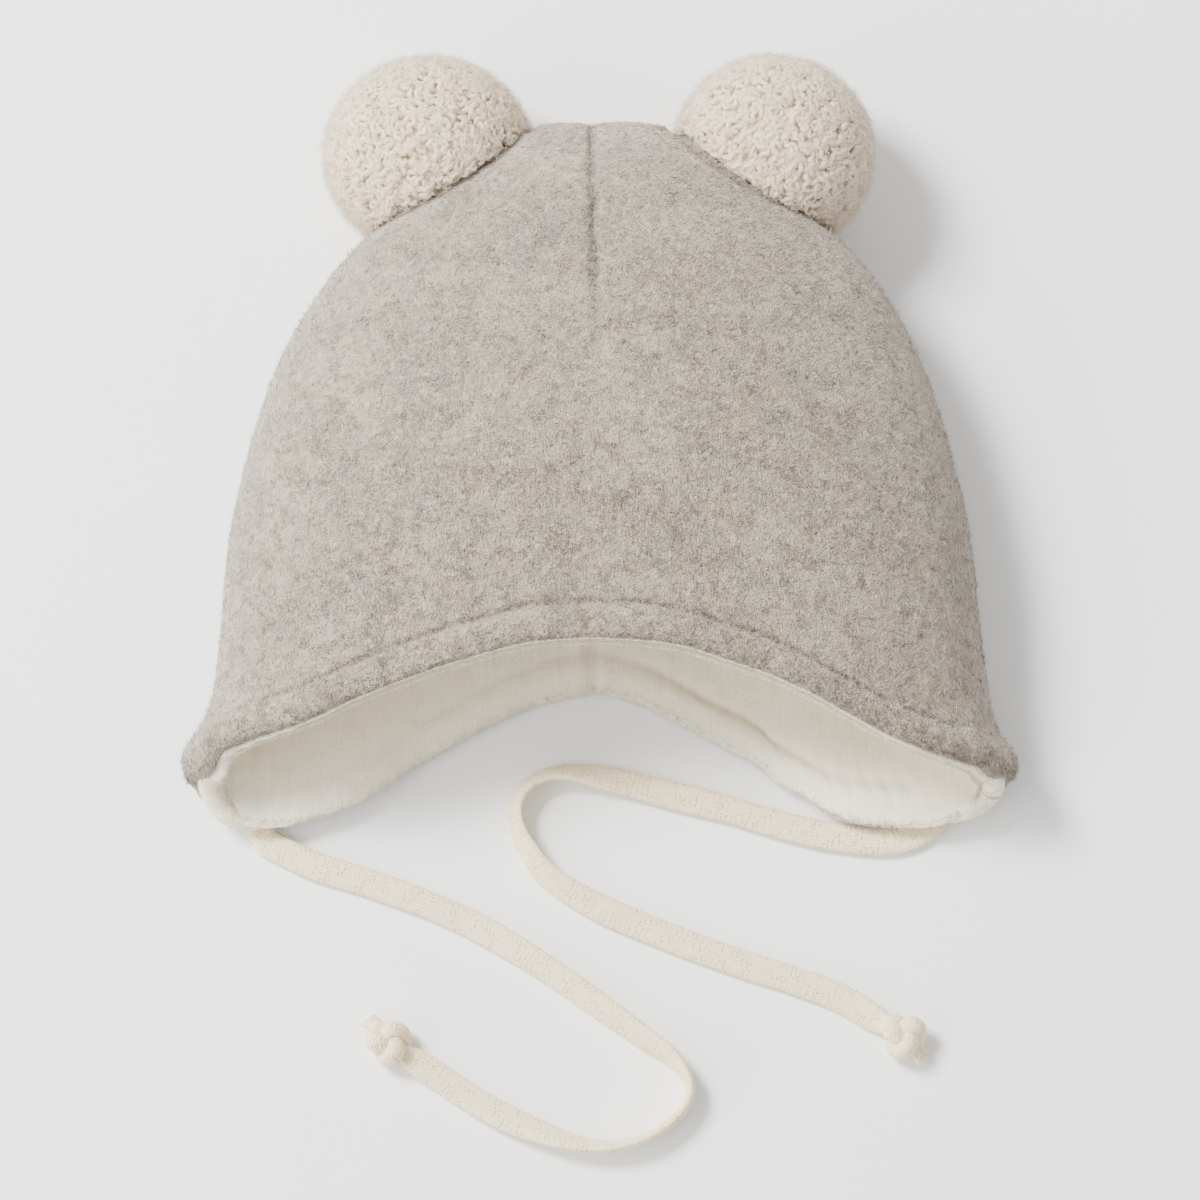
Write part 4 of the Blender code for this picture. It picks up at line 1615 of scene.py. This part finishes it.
@dataclass
class Lining:
    """The fleece inside: a rolled edge that shows past the wool, thick at the brim's corners."""

    form: HatForm
    shell: OuterShell
    gap: float = 0.0001
    wall: float = 0.0015
    thinnest: float = 0.0005
    reach: float = 0.0010
    past: float = 0.0011
    spill: float = 0.0011
    corner_lip: float = 0.0002
    roll_left: float = 0.0014
    roll_right: float = 0.0012
    roll_width: float = 0.0050
    edge_puff: float = 0.0006
    groove_place: float = 0.0084
    groove_depth: float = 0.0006
    groove_width: float = 0.0012
    groove_wander: float = 0.0008
    stitch: float = 0.0047
    stitch_depth: float = 0.00018
    stitch_reach: float = 0.0034
    seam_place: float = -0.0019
    seam_width: float = 0.0011
    seam_depth: float = 0.0007
    ridge_place: float = 0.0030
    ridge_width: float = 0.0016
    ridge_height: float = 0.0004
    fold_places: tuple[float, float] = (-0.0820, 0.0850)
    fold_width: float = 0.0016
    fold_depth: float = 0.0006
    rim_hairs: int = 14000
    rim_seed: int = 31
    rim_reach: float = 0.0014

    def thickness(self, cloth: Cloth) -> tuple[np.ndarray, np.ndarray]:
        """Work out how thick the fleece is and the painted shade in its creases.

        Args:
            cloth: The rows of the hat's outside.

        Returns:
            The thickness at each point, and the painted shade in the groove, along the seam and in the folds.
        """
        away = cloth.from_edge
        across = np.cos(cloth.turn)[None, :]
        run = cloth.run[None, :]
        roll = np.where(across < 0, self.roll_left, self.roll_right) * cloth.corner(0.86, 0.90)
        thick = self.wall + roll * bell(np.maximum(0.0, away - 0.0015), self.roll_width)
        thick = thick + self.edge_puff * bell(away - 0.0045, 0.0032)
        x = cloth.base[..., 0]
        back = ease(-np.sin(cloth.turn), 0.10, 0.40)[None, :]
        sewn = back * (0.35 + 0.65 * ease(x, 0.0, 0.030))
        sewn = sewn * ease(x, -0.052, -0.036) * (1 - ease(x, 0.070, 0.082))
        wander = line_lumps(run, 0.016, 5.0)
        line = self.groove_place + self.groove_wander * wander
        groove = bell(away - line, self.groove_width) * sewn
        pull = np.sin(2 * math.pi * run / self.stitch + 4 * wander)
        pull = pull * bell(away - line, self.stitch_reach) * sewn
        thick = thick - self.groove_depth * groove + self.stitch_depth * pull
        off = x - self.seam_place
        seam = bell(off, self.seam_width) * back
        ridge = bell(np.abs(off) - self.ridge_place, self.ridge_width) * back
        thick = thick - self.seam_depth * seam + self.ridge_height * ridge
        folds = sum(bell(x - place, self.fold_width) * back for place in self.fold_places)
        folds = folds * ease(away, 0.006, 0.016) * (1 - ease(away, 0.035, 0.060))
        thick = thick - self.fold_depth * folds
        thick = thick + lumps(cloth.base, 0.0045, 1.0) * 0.00022 + lumps(cloth.base, 0.0015, 4.0) * 0.00010
        # Painted shade in the hem's groove, along the back seam and in the folds.
        crease_shade = np.clip(groove * (0.75 + 0.3 * wander) + 0.9 * seam + 0.6 * folds, 0.0, 1.0)
        return np.maximum(thick, self.thinnest), crease_shade

    def build(self, fleece: bpy.types.Material) -> tuple[np.ndarray, np.ndarray]:
        """Make the inside of the hat.

        Args:
            fleece: What it is made of.

        Returns:
            Points along its rim and the directions in which it faces there.
        """
        cloth = self.form.cloth(self.reach - self.past)
        thick, crease_shade = self.thickness(cloth)
        far = -self.shell.thickness(cloth) - self.gap
        near = far - thick
        ragged = rough(cloth.base[0], (0.0016, 9.0, 0.55), (0.0050, 2.0, 0.40))
        lip = self.reach * (1.0 + ragged) + self.corner_lip * cloth.corner(0.86, 0.90)[0]
        across, up = np.abs(np.cos(cloth.turn)), np.sin(cloth.turn)
        lip = lip * (1.0 - 0.75 * ease(up, 0.50, 0.90))
        lip = lip + self.spill * (up < 0) * ease(across, 0.70, 0.84) * (1 - ease(across, 0.93, 0.99))
        piece = cloth.wall("fleece_lining", near, far, lip, crease_shade)
        Bench.finish(piece, fleece, Slot.FLEECE)
        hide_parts("lining")
        return cloth.rim(np.stack([near, far]), self.rim_reach, -1.0, self.rim_hairs, self.rim_seed)


@dataclass
class Roll:
    """The fat soft roll of fleece along the rim at one of the brim's corners."""

    side: Side
    stops: list[tuple[float, float, float, float]]
    thinnest: float = 0.0002
    lowest: float = 0.0002
    uneven: float = 0.05
    sides: int = 24
    reads_between: int = 10
    hairs: int = 3000
    seed: int = 51

    def build(self, fleece: bpy.types.Material) -> tuple[np.ndarray, np.ndarray]:
        """Make the roll.

        Args:
            fleece: What it is made of.

        Returns:
            Points all over it and the directions in which it faces there.
        """
        fine = flow(np.array(self.stops), self.reads_between)
        line, thick = fine[:, :3], np.maximum(fine[:, 3], self.thinnest)
        heading = unit(np.gradient(line, axis=0))
        beside = unit(np.cross(heading, [0.3 * self.side.value, 0.4, 0.9]))
        over = np.cross(beside, heading)
        turns = girth(self.sides)
        ways = np.cos(turns)[None, :, None] * beside[:, None] + np.sin(turns)[None, :, None] * over[:, None]
        skin = line[:, None] + ways * thick[:, None, None]
        uneven = rough(skin, (0.0060, 4.0, self.uneven), (0.0022, 6.0, self.uneven))
        uneven[:, -1] = uneven[:, 0]
        skin = line[:, None] + ways * (thick[:, None] * (1 + uneven))[..., None]
        points = capped(skin, line)
        points[..., 2] = np.maximum(points[..., 2], self.lowest)
        flat = np.zeros(points.shape[:2])
        piece = Bench.lattice("fleece_roll_%s" % self.side.word, points, {"crease_shade": flat})
        Bench.finish(piece, fleece, Slot.FLEECE)
        dice = np.random.default_rng(self.seed + self.side.value)
        row = dice.integers(0, len(skin) - 1, self.hairs)
        column = dice.integers(0, self.sides, self.hairs)
        share = dice.uniform(size=(2, self.hairs, 1))
        return between(skin, row, column, share[0], share[1]), ways[row, column]


@dataclass
class Nap:
    """Short loose hairs over a patch of cloth."""

    name: str
    length: float
    width: float
    lean: float
    seed: int
    least_lift: float = 0.10
    lengths: tuple[float, float] = (0.55, 1.35)
    widths: tuple[float, float] = (0.7, 1.3)
    tones: tuple[float, float] = (0.0, 1.0)

    def build(
        self, grown: list[tuple[np.ndarray, np.ndarray]], material: bpy.types.Material, slot: Slot
    ) -> None:
        """Grow the hairs from points on the cloth, all as one piece.

        Args:
            grown: Roots and the cloth's normals there, for one or more patches.
            material: What the hairs are made of.
            slot: The record's slot for that.
        """
        points, normals = (np.concatenate(parts) for parts in zip(*grown))
        dice = np.random.default_rng(self.seed)
        total = len(points)
        random = dice.normal(size=(total, 3))
        side = unit(random - normals * (random * normals).sum(axis=1)[:, None])
        beside = np.cross(normals, side)
        lift = np.abs(dice.normal(0.0, 1.0, total)) * (1 - self.lean) + self.least_lift
        reach = unit(side + normals * lift[:, None])
        size = self.length * dice.uniform(*self.lengths, total)
        thick = 0.5 * self.width * dice.uniform(*self.widths, total)
        root = points - normals * (0.4 * self.width)
        tip = root + reach * size[:, None]
        over = np.cross(reach, beside)
        first = root + beside * thick[:, None]
        back, aside = beside * (0.5 * thick)[:, None], over * (0.87 * thick)[:, None]
        places = np.stack([first, root - back + aside, root - back - aside, tip], axis=1)
        places[..., 2] = np.maximum(places[..., 2], 0.0)
        start = 4 * np.arange(total)[:, None]
        faces = np.concatenate([start + [0, 1, 3], start + [1, 2, 3], start + [2, 0, 3]])
        tone = dice.beta(1.6, 1.3, total) * (self.tones[1] - self.tones[0]) + self.tones[0]
        piece = Bench.joined(self.name, places.reshape(-1, 3), faces.tolist(), np.repeat(tone, 4))
        Bench.finish(piece, material, slot)


def between(
    values: np.ndarray, row: np.ndarray, column: np.ndarray, u: np.ndarray, v: np.ndarray
) -> np.ndarray:
    """Read values between the four corners of chosen faces.

    Args:
        values: Rows of values.
        row: The lower row of each face.
        column: Its first column.
        u: The share of the way to the next column.
        v: The share of the way to the next row.

    Returns:
        One value for each face.
    """
    near = values[row, column] * (1 - u) + values[row, column + 1] * u
    far = values[row + 1, column] * (1 - u) + values[row + 1, column + 1] * u
    return near * (1 - v) + far * v


def scattered(
    cloth: Cloth, height: np.ndarray, weight: np.ndarray, count: int, seed: int
) -> tuple[np.ndarray, np.ndarray]:
    """Scatter roots evenly over a cloth's face.

    Args:
        cloth: The rows of the hat's outside.
        height: Its relief.
        weight: How dense the roots are at each point, as rows.
        count: How many roots.
        seed: Makes the scatter the same in each run.

    Returns:
        The roots and their normals.
    """
    dice = np.random.default_rng(seed)
    face = cloth.base + cloth.normal * height[..., None]
    wide = np.linalg.norm(np.diff(face, axis=1), axis=2)[:-1]
    tall = np.linalg.norm(np.diff(face, axis=0), axis=2)[:, :-1]
    share = wide * tall * weight[:-1, :-1]
    chosen = dice.choice(share.size, size=count, p=(share / share.sum()).ravel())
    row, column = np.unravel_index(chosen, share.shape)
    u = dice.uniform(size=(count, 1))
    v = dice.uniform(size=(count, 1))
    return between(face, row, column, u, v), unit(between(cloth.normal, row, column, u, v))


def face_tree(cloth: Cloth, height: np.ndarray) -> BVHTree:
    """Return the wool's face in a form that can be asked for its nearest point.

    Args:
        cloth: The rows of the hat's outside.
        height: Its relief.

    Returns:
        The tree, with faces that point outwards.
    """
    face = cloth.base + cloth.normal * height[..., None]
    rows, columns = face.shape[:2]
    index = np.arange(rows * columns).reshape(rows, columns)
    low, after = index[:-1, :-1].ravel(), index[:-1, 1:].ravel()
    above, beyond = index[1:, :-1].ravel(), index[1:, 1:].ravel()
    corners = np.stack([low, after, beyond, above], axis=1)
    tree = BVHTree.FromPolygons(face.reshape(-1, 3).tolist(), corners.tolist())
    probe = Vector((0.0, 0.0, 0.2))
    near, facing, _, _ = tree.find_nearest(probe)
    if (probe - near).dot(facing) < 0:
        tree = BVHTree.FromPolygons(face.reshape(-1, 3).tolist(), corners[:, ::-1].tolist())
    return tree


def outside(crown: BVHTree, spot: Vector) -> float:
    """Return how far a spot lies off the wool; below 0 it is inside the hat."""
    near, facing, _, _ = crown.find_nearest(spot)
    return (spot - near).dot(facing)


@dataclass
class Ear:
    """One ear: a soft ball seated on the crown and covered with small curls."""

    side: Side
    middle: Place
    half_width: float
    seed: int
    half_depth: float = 0.0229
    half_height: float = 0.0200
    packed_half: float = 0.0240
    sunk: float = 0.0011
    lowered: float = 0.0007
    fill: float = 0.9
    ball_tone: float = 0.90
    curls: int = 2500
    curl_size: float = 1.05
    curl_unit: float = 0.001
    curl_strand: float = 0.00062
    curl_clear: float = 0.0006
    tip_clear: float = 0.0002
    kinds: int = 6
    hairs: int = 30000
    hair_rise: float = 0.0014
    hair_spread: float = 0.0006
    hair_length: float = 0.0019
    hair_width: float = 0.00011
    hair_lean: float = 0.60

    def build(self, pile: bpy.types.Material, crown: BVHTree) -> None:
        """Make the ear: its ball, its curls and its loose hairs.

        Args:
            pile: What it is made of.
            crown: The face of the wool that the ear sits on.
        """
        self.core(pile)
        roots, normals = self.roots(crown)
        self.cover(roots, normals, crown, pile)
        dice = np.random.default_rng(self.seed + 5)
        share = 0.55 + (1 - np.abs(normals[:, 2])) ** 2
        chosen = dice.choice(len(roots), self.hairs, p=share / share.sum())
        spread = dice.normal(0.0, self.hair_spread, (self.hairs, 3))
        places = roots[chosen] + normals[chosen] * self.hair_rise + spread
        name = "ear_%s_hairs" % self.side.word
        nap = Nap(name, self.hair_length, self.hair_width, self.hair_lean, self.seed, tones=(0.7, 1.0))
        nap.build([(places, normals[chosen])], pile, Slot.PILE)

    def core(self, pile: bpy.types.Material) -> None:
        """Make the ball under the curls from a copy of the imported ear, drawn in where it is round.

        Args:
            pile: What it is made of.
        """
        node = "ear_%s" % self.side.word
        piece = bpy.data.objects.new(node + "_ball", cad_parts[node].data.copy())
        bpy.context.scene.collection.objects.link(piece)
        Bench.close(piece)
        middle = Vector(self.middle)
        half = self.packed_half
        for vert in piece.data.vertices:
            off = vert.co - middle
            if Vector((off.x / half, off.y / half, off.z / self.half_height)).length > 0.85:
                off.x = off.x * self.half_width / half
                off.y = off.y * self.half_depth / half - self.lowered
                vert.co = middle + off * (1 - 0.5 * self.sunk / self.half_width)
        tone = piece.data.attributes.new("tone", "FLOAT", "POINT")
        tone.data.foreach_set("value", np.full(len(piece.data.vertices), self.ball_tone))
        Bench.finish(piece, pile, Slot.PILE)
        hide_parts(node)

    def roots(self, crown: BVHTree) -> tuple[np.ndarray, np.ndarray]:
        """Spread the curls' roots over the ball, off its seat on the crown.

        Args:
            crown: The face of the wool that the ear sits on.

        Returns:
            The roots and the ball's normals there.
        """
        places, normals = [], []
        sizes = np.array([self.half_width, self.half_depth, self.half_height])
        middle = np.array(self.middle) - [0.0, self.lowered, 0.0]
        golden = math.pi * (3 - math.sqrt(5))
        dice = np.random.default_rng(self.seed)
        for place in range(self.curls):
            height = 1 - 2 * (place + 0.5) / self.curls
            wide = math.sqrt(1 - height * height)
            turn = golden * place
            way = np.array([wide * math.cos(turn), wide * math.sin(turn), height])
            way = way + dice.normal(0.0, 0.012, 3)
            way = way / np.linalg.norm(way)
            spot = middle + way * (sizes - self.sunk)
            if outside(crown, Vector(spot)) < self.curl_clear:
                continue
            normal = way / sizes
            places.append(spot)
            normals.append(normal / np.linalg.norm(normal))
        return np.array(places), np.array(normals)

    def curl(self, kind: int) -> tuple[np.ndarray, list]:
        """Model one curl with a bent curve, and return its points and faces.

        Args:
            kind: The curl's number, which sets its bends.

        Returns:
            Its points and the corners of its faces.
        """
        dice = np.random.default_rng(100 * self.seed + kind)
        bpy.ops.object.select_all(action="DESELECT")
        bpy.ops.curve.primitive_bezier_curve_add(radius=self.curl_unit)
        made = bpy.context.object
        curve = made.data
        curve.dimensions = "3D"
        curve.resolution_u = 2
        curve.bevel_depth = self.curl_strand
        curve.bevel_resolution = 0
        curve.use_fill_caps = True
        spline = curve.splines[0]
        spline.bezier_points.add(3)
        hook = dice.uniform(0.8, 1.15)
        aside = dice.uniform(0.5, 1.2) * dice.choice([-1, 1])
        stops = [
            ((0.0, 0.0, -0.6), (0.1, 0.0, 0.5), 0.85),
            ((0.7 * hook, 0.6 * aside, 0.75), (0.5, 0.3 * aside, 0.15), 1.0),
            ((1.8 * hook, -0.35 * aside, 0.70), (0.5, -0.2 * aside, -0.2), 1.0),
            ((2.8 * hook, 0.5 * aside, 0.60), (0.5, 0.25 * aside, -0.1), 1.0),
            ((3.8 * hook, -0.3 * aside, 0.0), (0.3, -0.4 * aside, -0.4), 0.6),
        ]
        for target, (place, handle, thick) in zip(spline.bezier_points, stops):
            target.handle_left_type = "FREE"
            target.handle_right_type = "FREE"
            target.co = Vector(place) * self.curl_unit
            target.handle_left = (Vector(place) - Vector(handle) * 0.8) * self.curl_unit
            target.handle_right = (Vector(place) + Vector(handle) * 0.8) * self.curl_unit
            target.radius = thick
        Bench.pick(made)
        bpy.ops.object.convert(target="MESH")
        made = bpy.context.object
        Bench.close(made)
        points = np.array([vert.co[:] for vert in made.data.vertices])
        faces = [tuple(face.vertices) for face in made.data.polygons]
        bpy.data.objects.remove(made, do_unlink=True)
        return points, faces

    def cover(
        self, roots: np.ndarray, normals: np.ndarray, crown: BVHTree, pile: bpy.types.Material
    ) -> None:
        """Copy the curls over the ball as one piece, combed away from its top.

        Args:
            roots: The curls' roots.
            normals: The ball's normal at each root.
            crown: The face of the wool that the ear sits on.
            pile: What the curls are made of.
        """
        kinds = [self.curl(kind) for kind in range(self.kinds)]
        dice = np.random.default_rng(self.seed + 1)
        points, faces, tones = [], [], []
        total = 0
        for root, normal in zip(roots, normals):
            shape, corners = kinds[int(dice.integers(self.kinds))]
            comb = dice.normal(size=3) * 1.5 + (root - np.array(self.middle)) * [40, 40, 0]
            ahead = comb - normal * float(comb @ normal)
            ahead = ahead / np.linalg.norm(ahead)
            axes = np.stack([ahead, np.cross(normal, ahead), normal])
            size = self.curl_size * dice.uniform(0.8, 1.2)
            placed = root + (shape * size) @ axes
            if outside(crown, Vector(placed[np.argmax(placed @ ahead)])) < self.tip_clear:
                continue
            points.append(placed)
            faces.extend(tuple(corner + total for corner in face) for face in corners)
            tones.append(np.full(len(shape), dice.uniform(0.5, 1.0)))
            total += len(shape)
        name = "ear_%s_curls" % self.side.word
        piece = Bench.joined(name, np.concatenate(points), faces, np.concatenate(tones))
        Bench.finish(piece, pile, Slot.PILE)


# Each stop of a tie is its X, its Y and its roll in degrees.
TIE_STOPS = {
    Side.LEFT: [
        (-0.0790, -0.0885, 0), (-0.0795, -0.0935, 0), (-0.0780, -0.0970, 2), (-0.0730, -0.0998, 4),
        (-0.0660, -0.1030, 4), (-0.0566, -0.1059, 4), (-0.0470, -0.1092, 2), (-0.0374, -0.1130, 2),
        (-0.0302, -0.1163, 4), (-0.0194, -0.1226, 20), (-0.0098, -0.1288, 28), (0.0000, -0.1358, 34),
        (0.0096, -0.1428, 46), (0.0166, -0.1480, 68), (0.0205, -0.1532, 86), (0.0205, -0.1578, 90),
        (0.0166, -0.1630, 88), (0.0096, -0.1671, 82), (0.0012, -0.1686, 72), (-0.0073, -0.1674, 54),
        (-0.0194, -0.1629, 18), (-0.0290, -0.1578, 6), (-0.0386, -0.1514, 10), (-0.0452, -0.1470, 26),
    ],
    Side.RIGHT: [
        (0.0800, -0.0885, 0), (0.0775, -0.0930, 0), (0.0715, -0.0962, 0), (0.0636, -0.0968, 2),
        (0.0515, -0.0952, 4), (0.0395, -0.0921, 4), (0.0288, -0.0888, 4), (0.0154, -0.0855, 4),
        (0.0035, -0.0824, 24), (-0.0084, -0.0807, 58), (-0.0157, -0.0828, 66), (-0.0194, -0.0878, 70),
        (-0.0194, -0.0933, 68), (-0.0168, -0.0991, 58), (-0.0122, -0.1052, 40), (-0.0026, -0.1114, 20),
        (0.0096, -0.1169, 8), (0.0215, -0.1216, 6), (0.0335, -0.1259, 4), (0.0456, -0.1298, 6),
        (0.0564, -0.1341, 12), (0.0666, -0.1405, 26),
    ],
}

# Each stop of a roll is its place and how thick the roll is there.
ROLL_STOPS = {
    Side.LEFT: [
        (-0.0690, -0.0742, 0.0350, 0.0004), (-0.0802, -0.0770, 0.0290, 0.0008),
        (-0.0861, -0.0795, 0.0249, 0.0014), (-0.0896, -0.0818, 0.0205, 0.0021),
        (-0.0908, -0.0847, 0.0135, 0.0027), (-0.0892, -0.0885, 0.0088, 0.0029),
        (-0.0862, -0.0915, 0.0068, 0.0024), (-0.0817, -0.0936, 0.0045, 0.0013),
        (-0.0750, -0.0930, 0.0028, 0.0003),
    ],
    Side.RIGHT: [
        (0.0764, -0.0773, 0.0319, 0.0005), (0.0833, -0.0804, 0.0276, 0.0009),
        (0.0881, -0.0827, 0.0234, 0.0014), (0.0911, -0.0839, 0.0180, 0.0020),
        (0.0917, -0.0852, 0.0125, 0.0026), (0.0901, -0.0873, 0.0085, 0.0029),
        (0.0862, -0.0900, 0.0070, 0.0026), (0.0813, -0.0915, 0.0048, 0.0016),
        (0.0750, -0.0915, 0.0028, 0.0003),
    ],
}

EAR_HALF_WIDTHS = {Side.LEFT: 0.0240, Side.RIGHT: 0.0231}
EAR_REACH = 0.0235
EAR_SEED = 11
FLEECE_NAP = Nap("fleece_hairs", length=0.0010, width=0.00011, lean=0.66, seed=32)
WOOL_NAP = Nap("wool_hairs_front", length=0.0016, width=0.00014, lean=0.74, seed=22)


def ear_middle(side: Side) -> Place:
    """Return the middle of an ear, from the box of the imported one.

    Args:
        side: Which ear.

    Returns:
        Its place in metres.
    """
    low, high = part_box("ear_%s" % side.word)
    x = low.x + EAR_REACH if side is Side.LEFT else high.x - EAR_REACH
    return (x, high.y - EAR_REACH, 0.5 * (low.z + high.z))


def main() -> None:
    """Build the studio and the hat."""
    logging.basicConfig(level=logging.INFO, format="%(name)s: %(message)s")
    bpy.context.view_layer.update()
    Studio().build()
    knit = FineKnit().material()
    for side in Side:
        Tie(side, TIE_STOPS[side]).build(knit, Knot(side))
    form = HatForm()
    shell = OuterShell(form, [ear_middle(side) for side in Side])
    cloth, faces = shell.build(HeatherWool().material())
    fleece = BrushedFleece().material()
    grown = [Lining(form, shell).build(fleece)]
    grown.extend(Roll(side, ROLL_STOPS[side]).build(fleece) for side in Side)
    FLEECE_NAP.build(grown, fleece, Slot.FLEECE)
    WOOL_NAP.build(shell.hair_roots(cloth, faces), WoolHairs().material(), Slot.WOOL)
    crown = face_tree(cloth, faces[0])
    pile = CurlyPile().material()
    for side in Side:
        Ear(side, ear_middle(side), EAR_HALF_WIDTHS[side], seed=EAR_SEED + side.value).build(pile, crown)


if __name__ == "__main__":
    main()
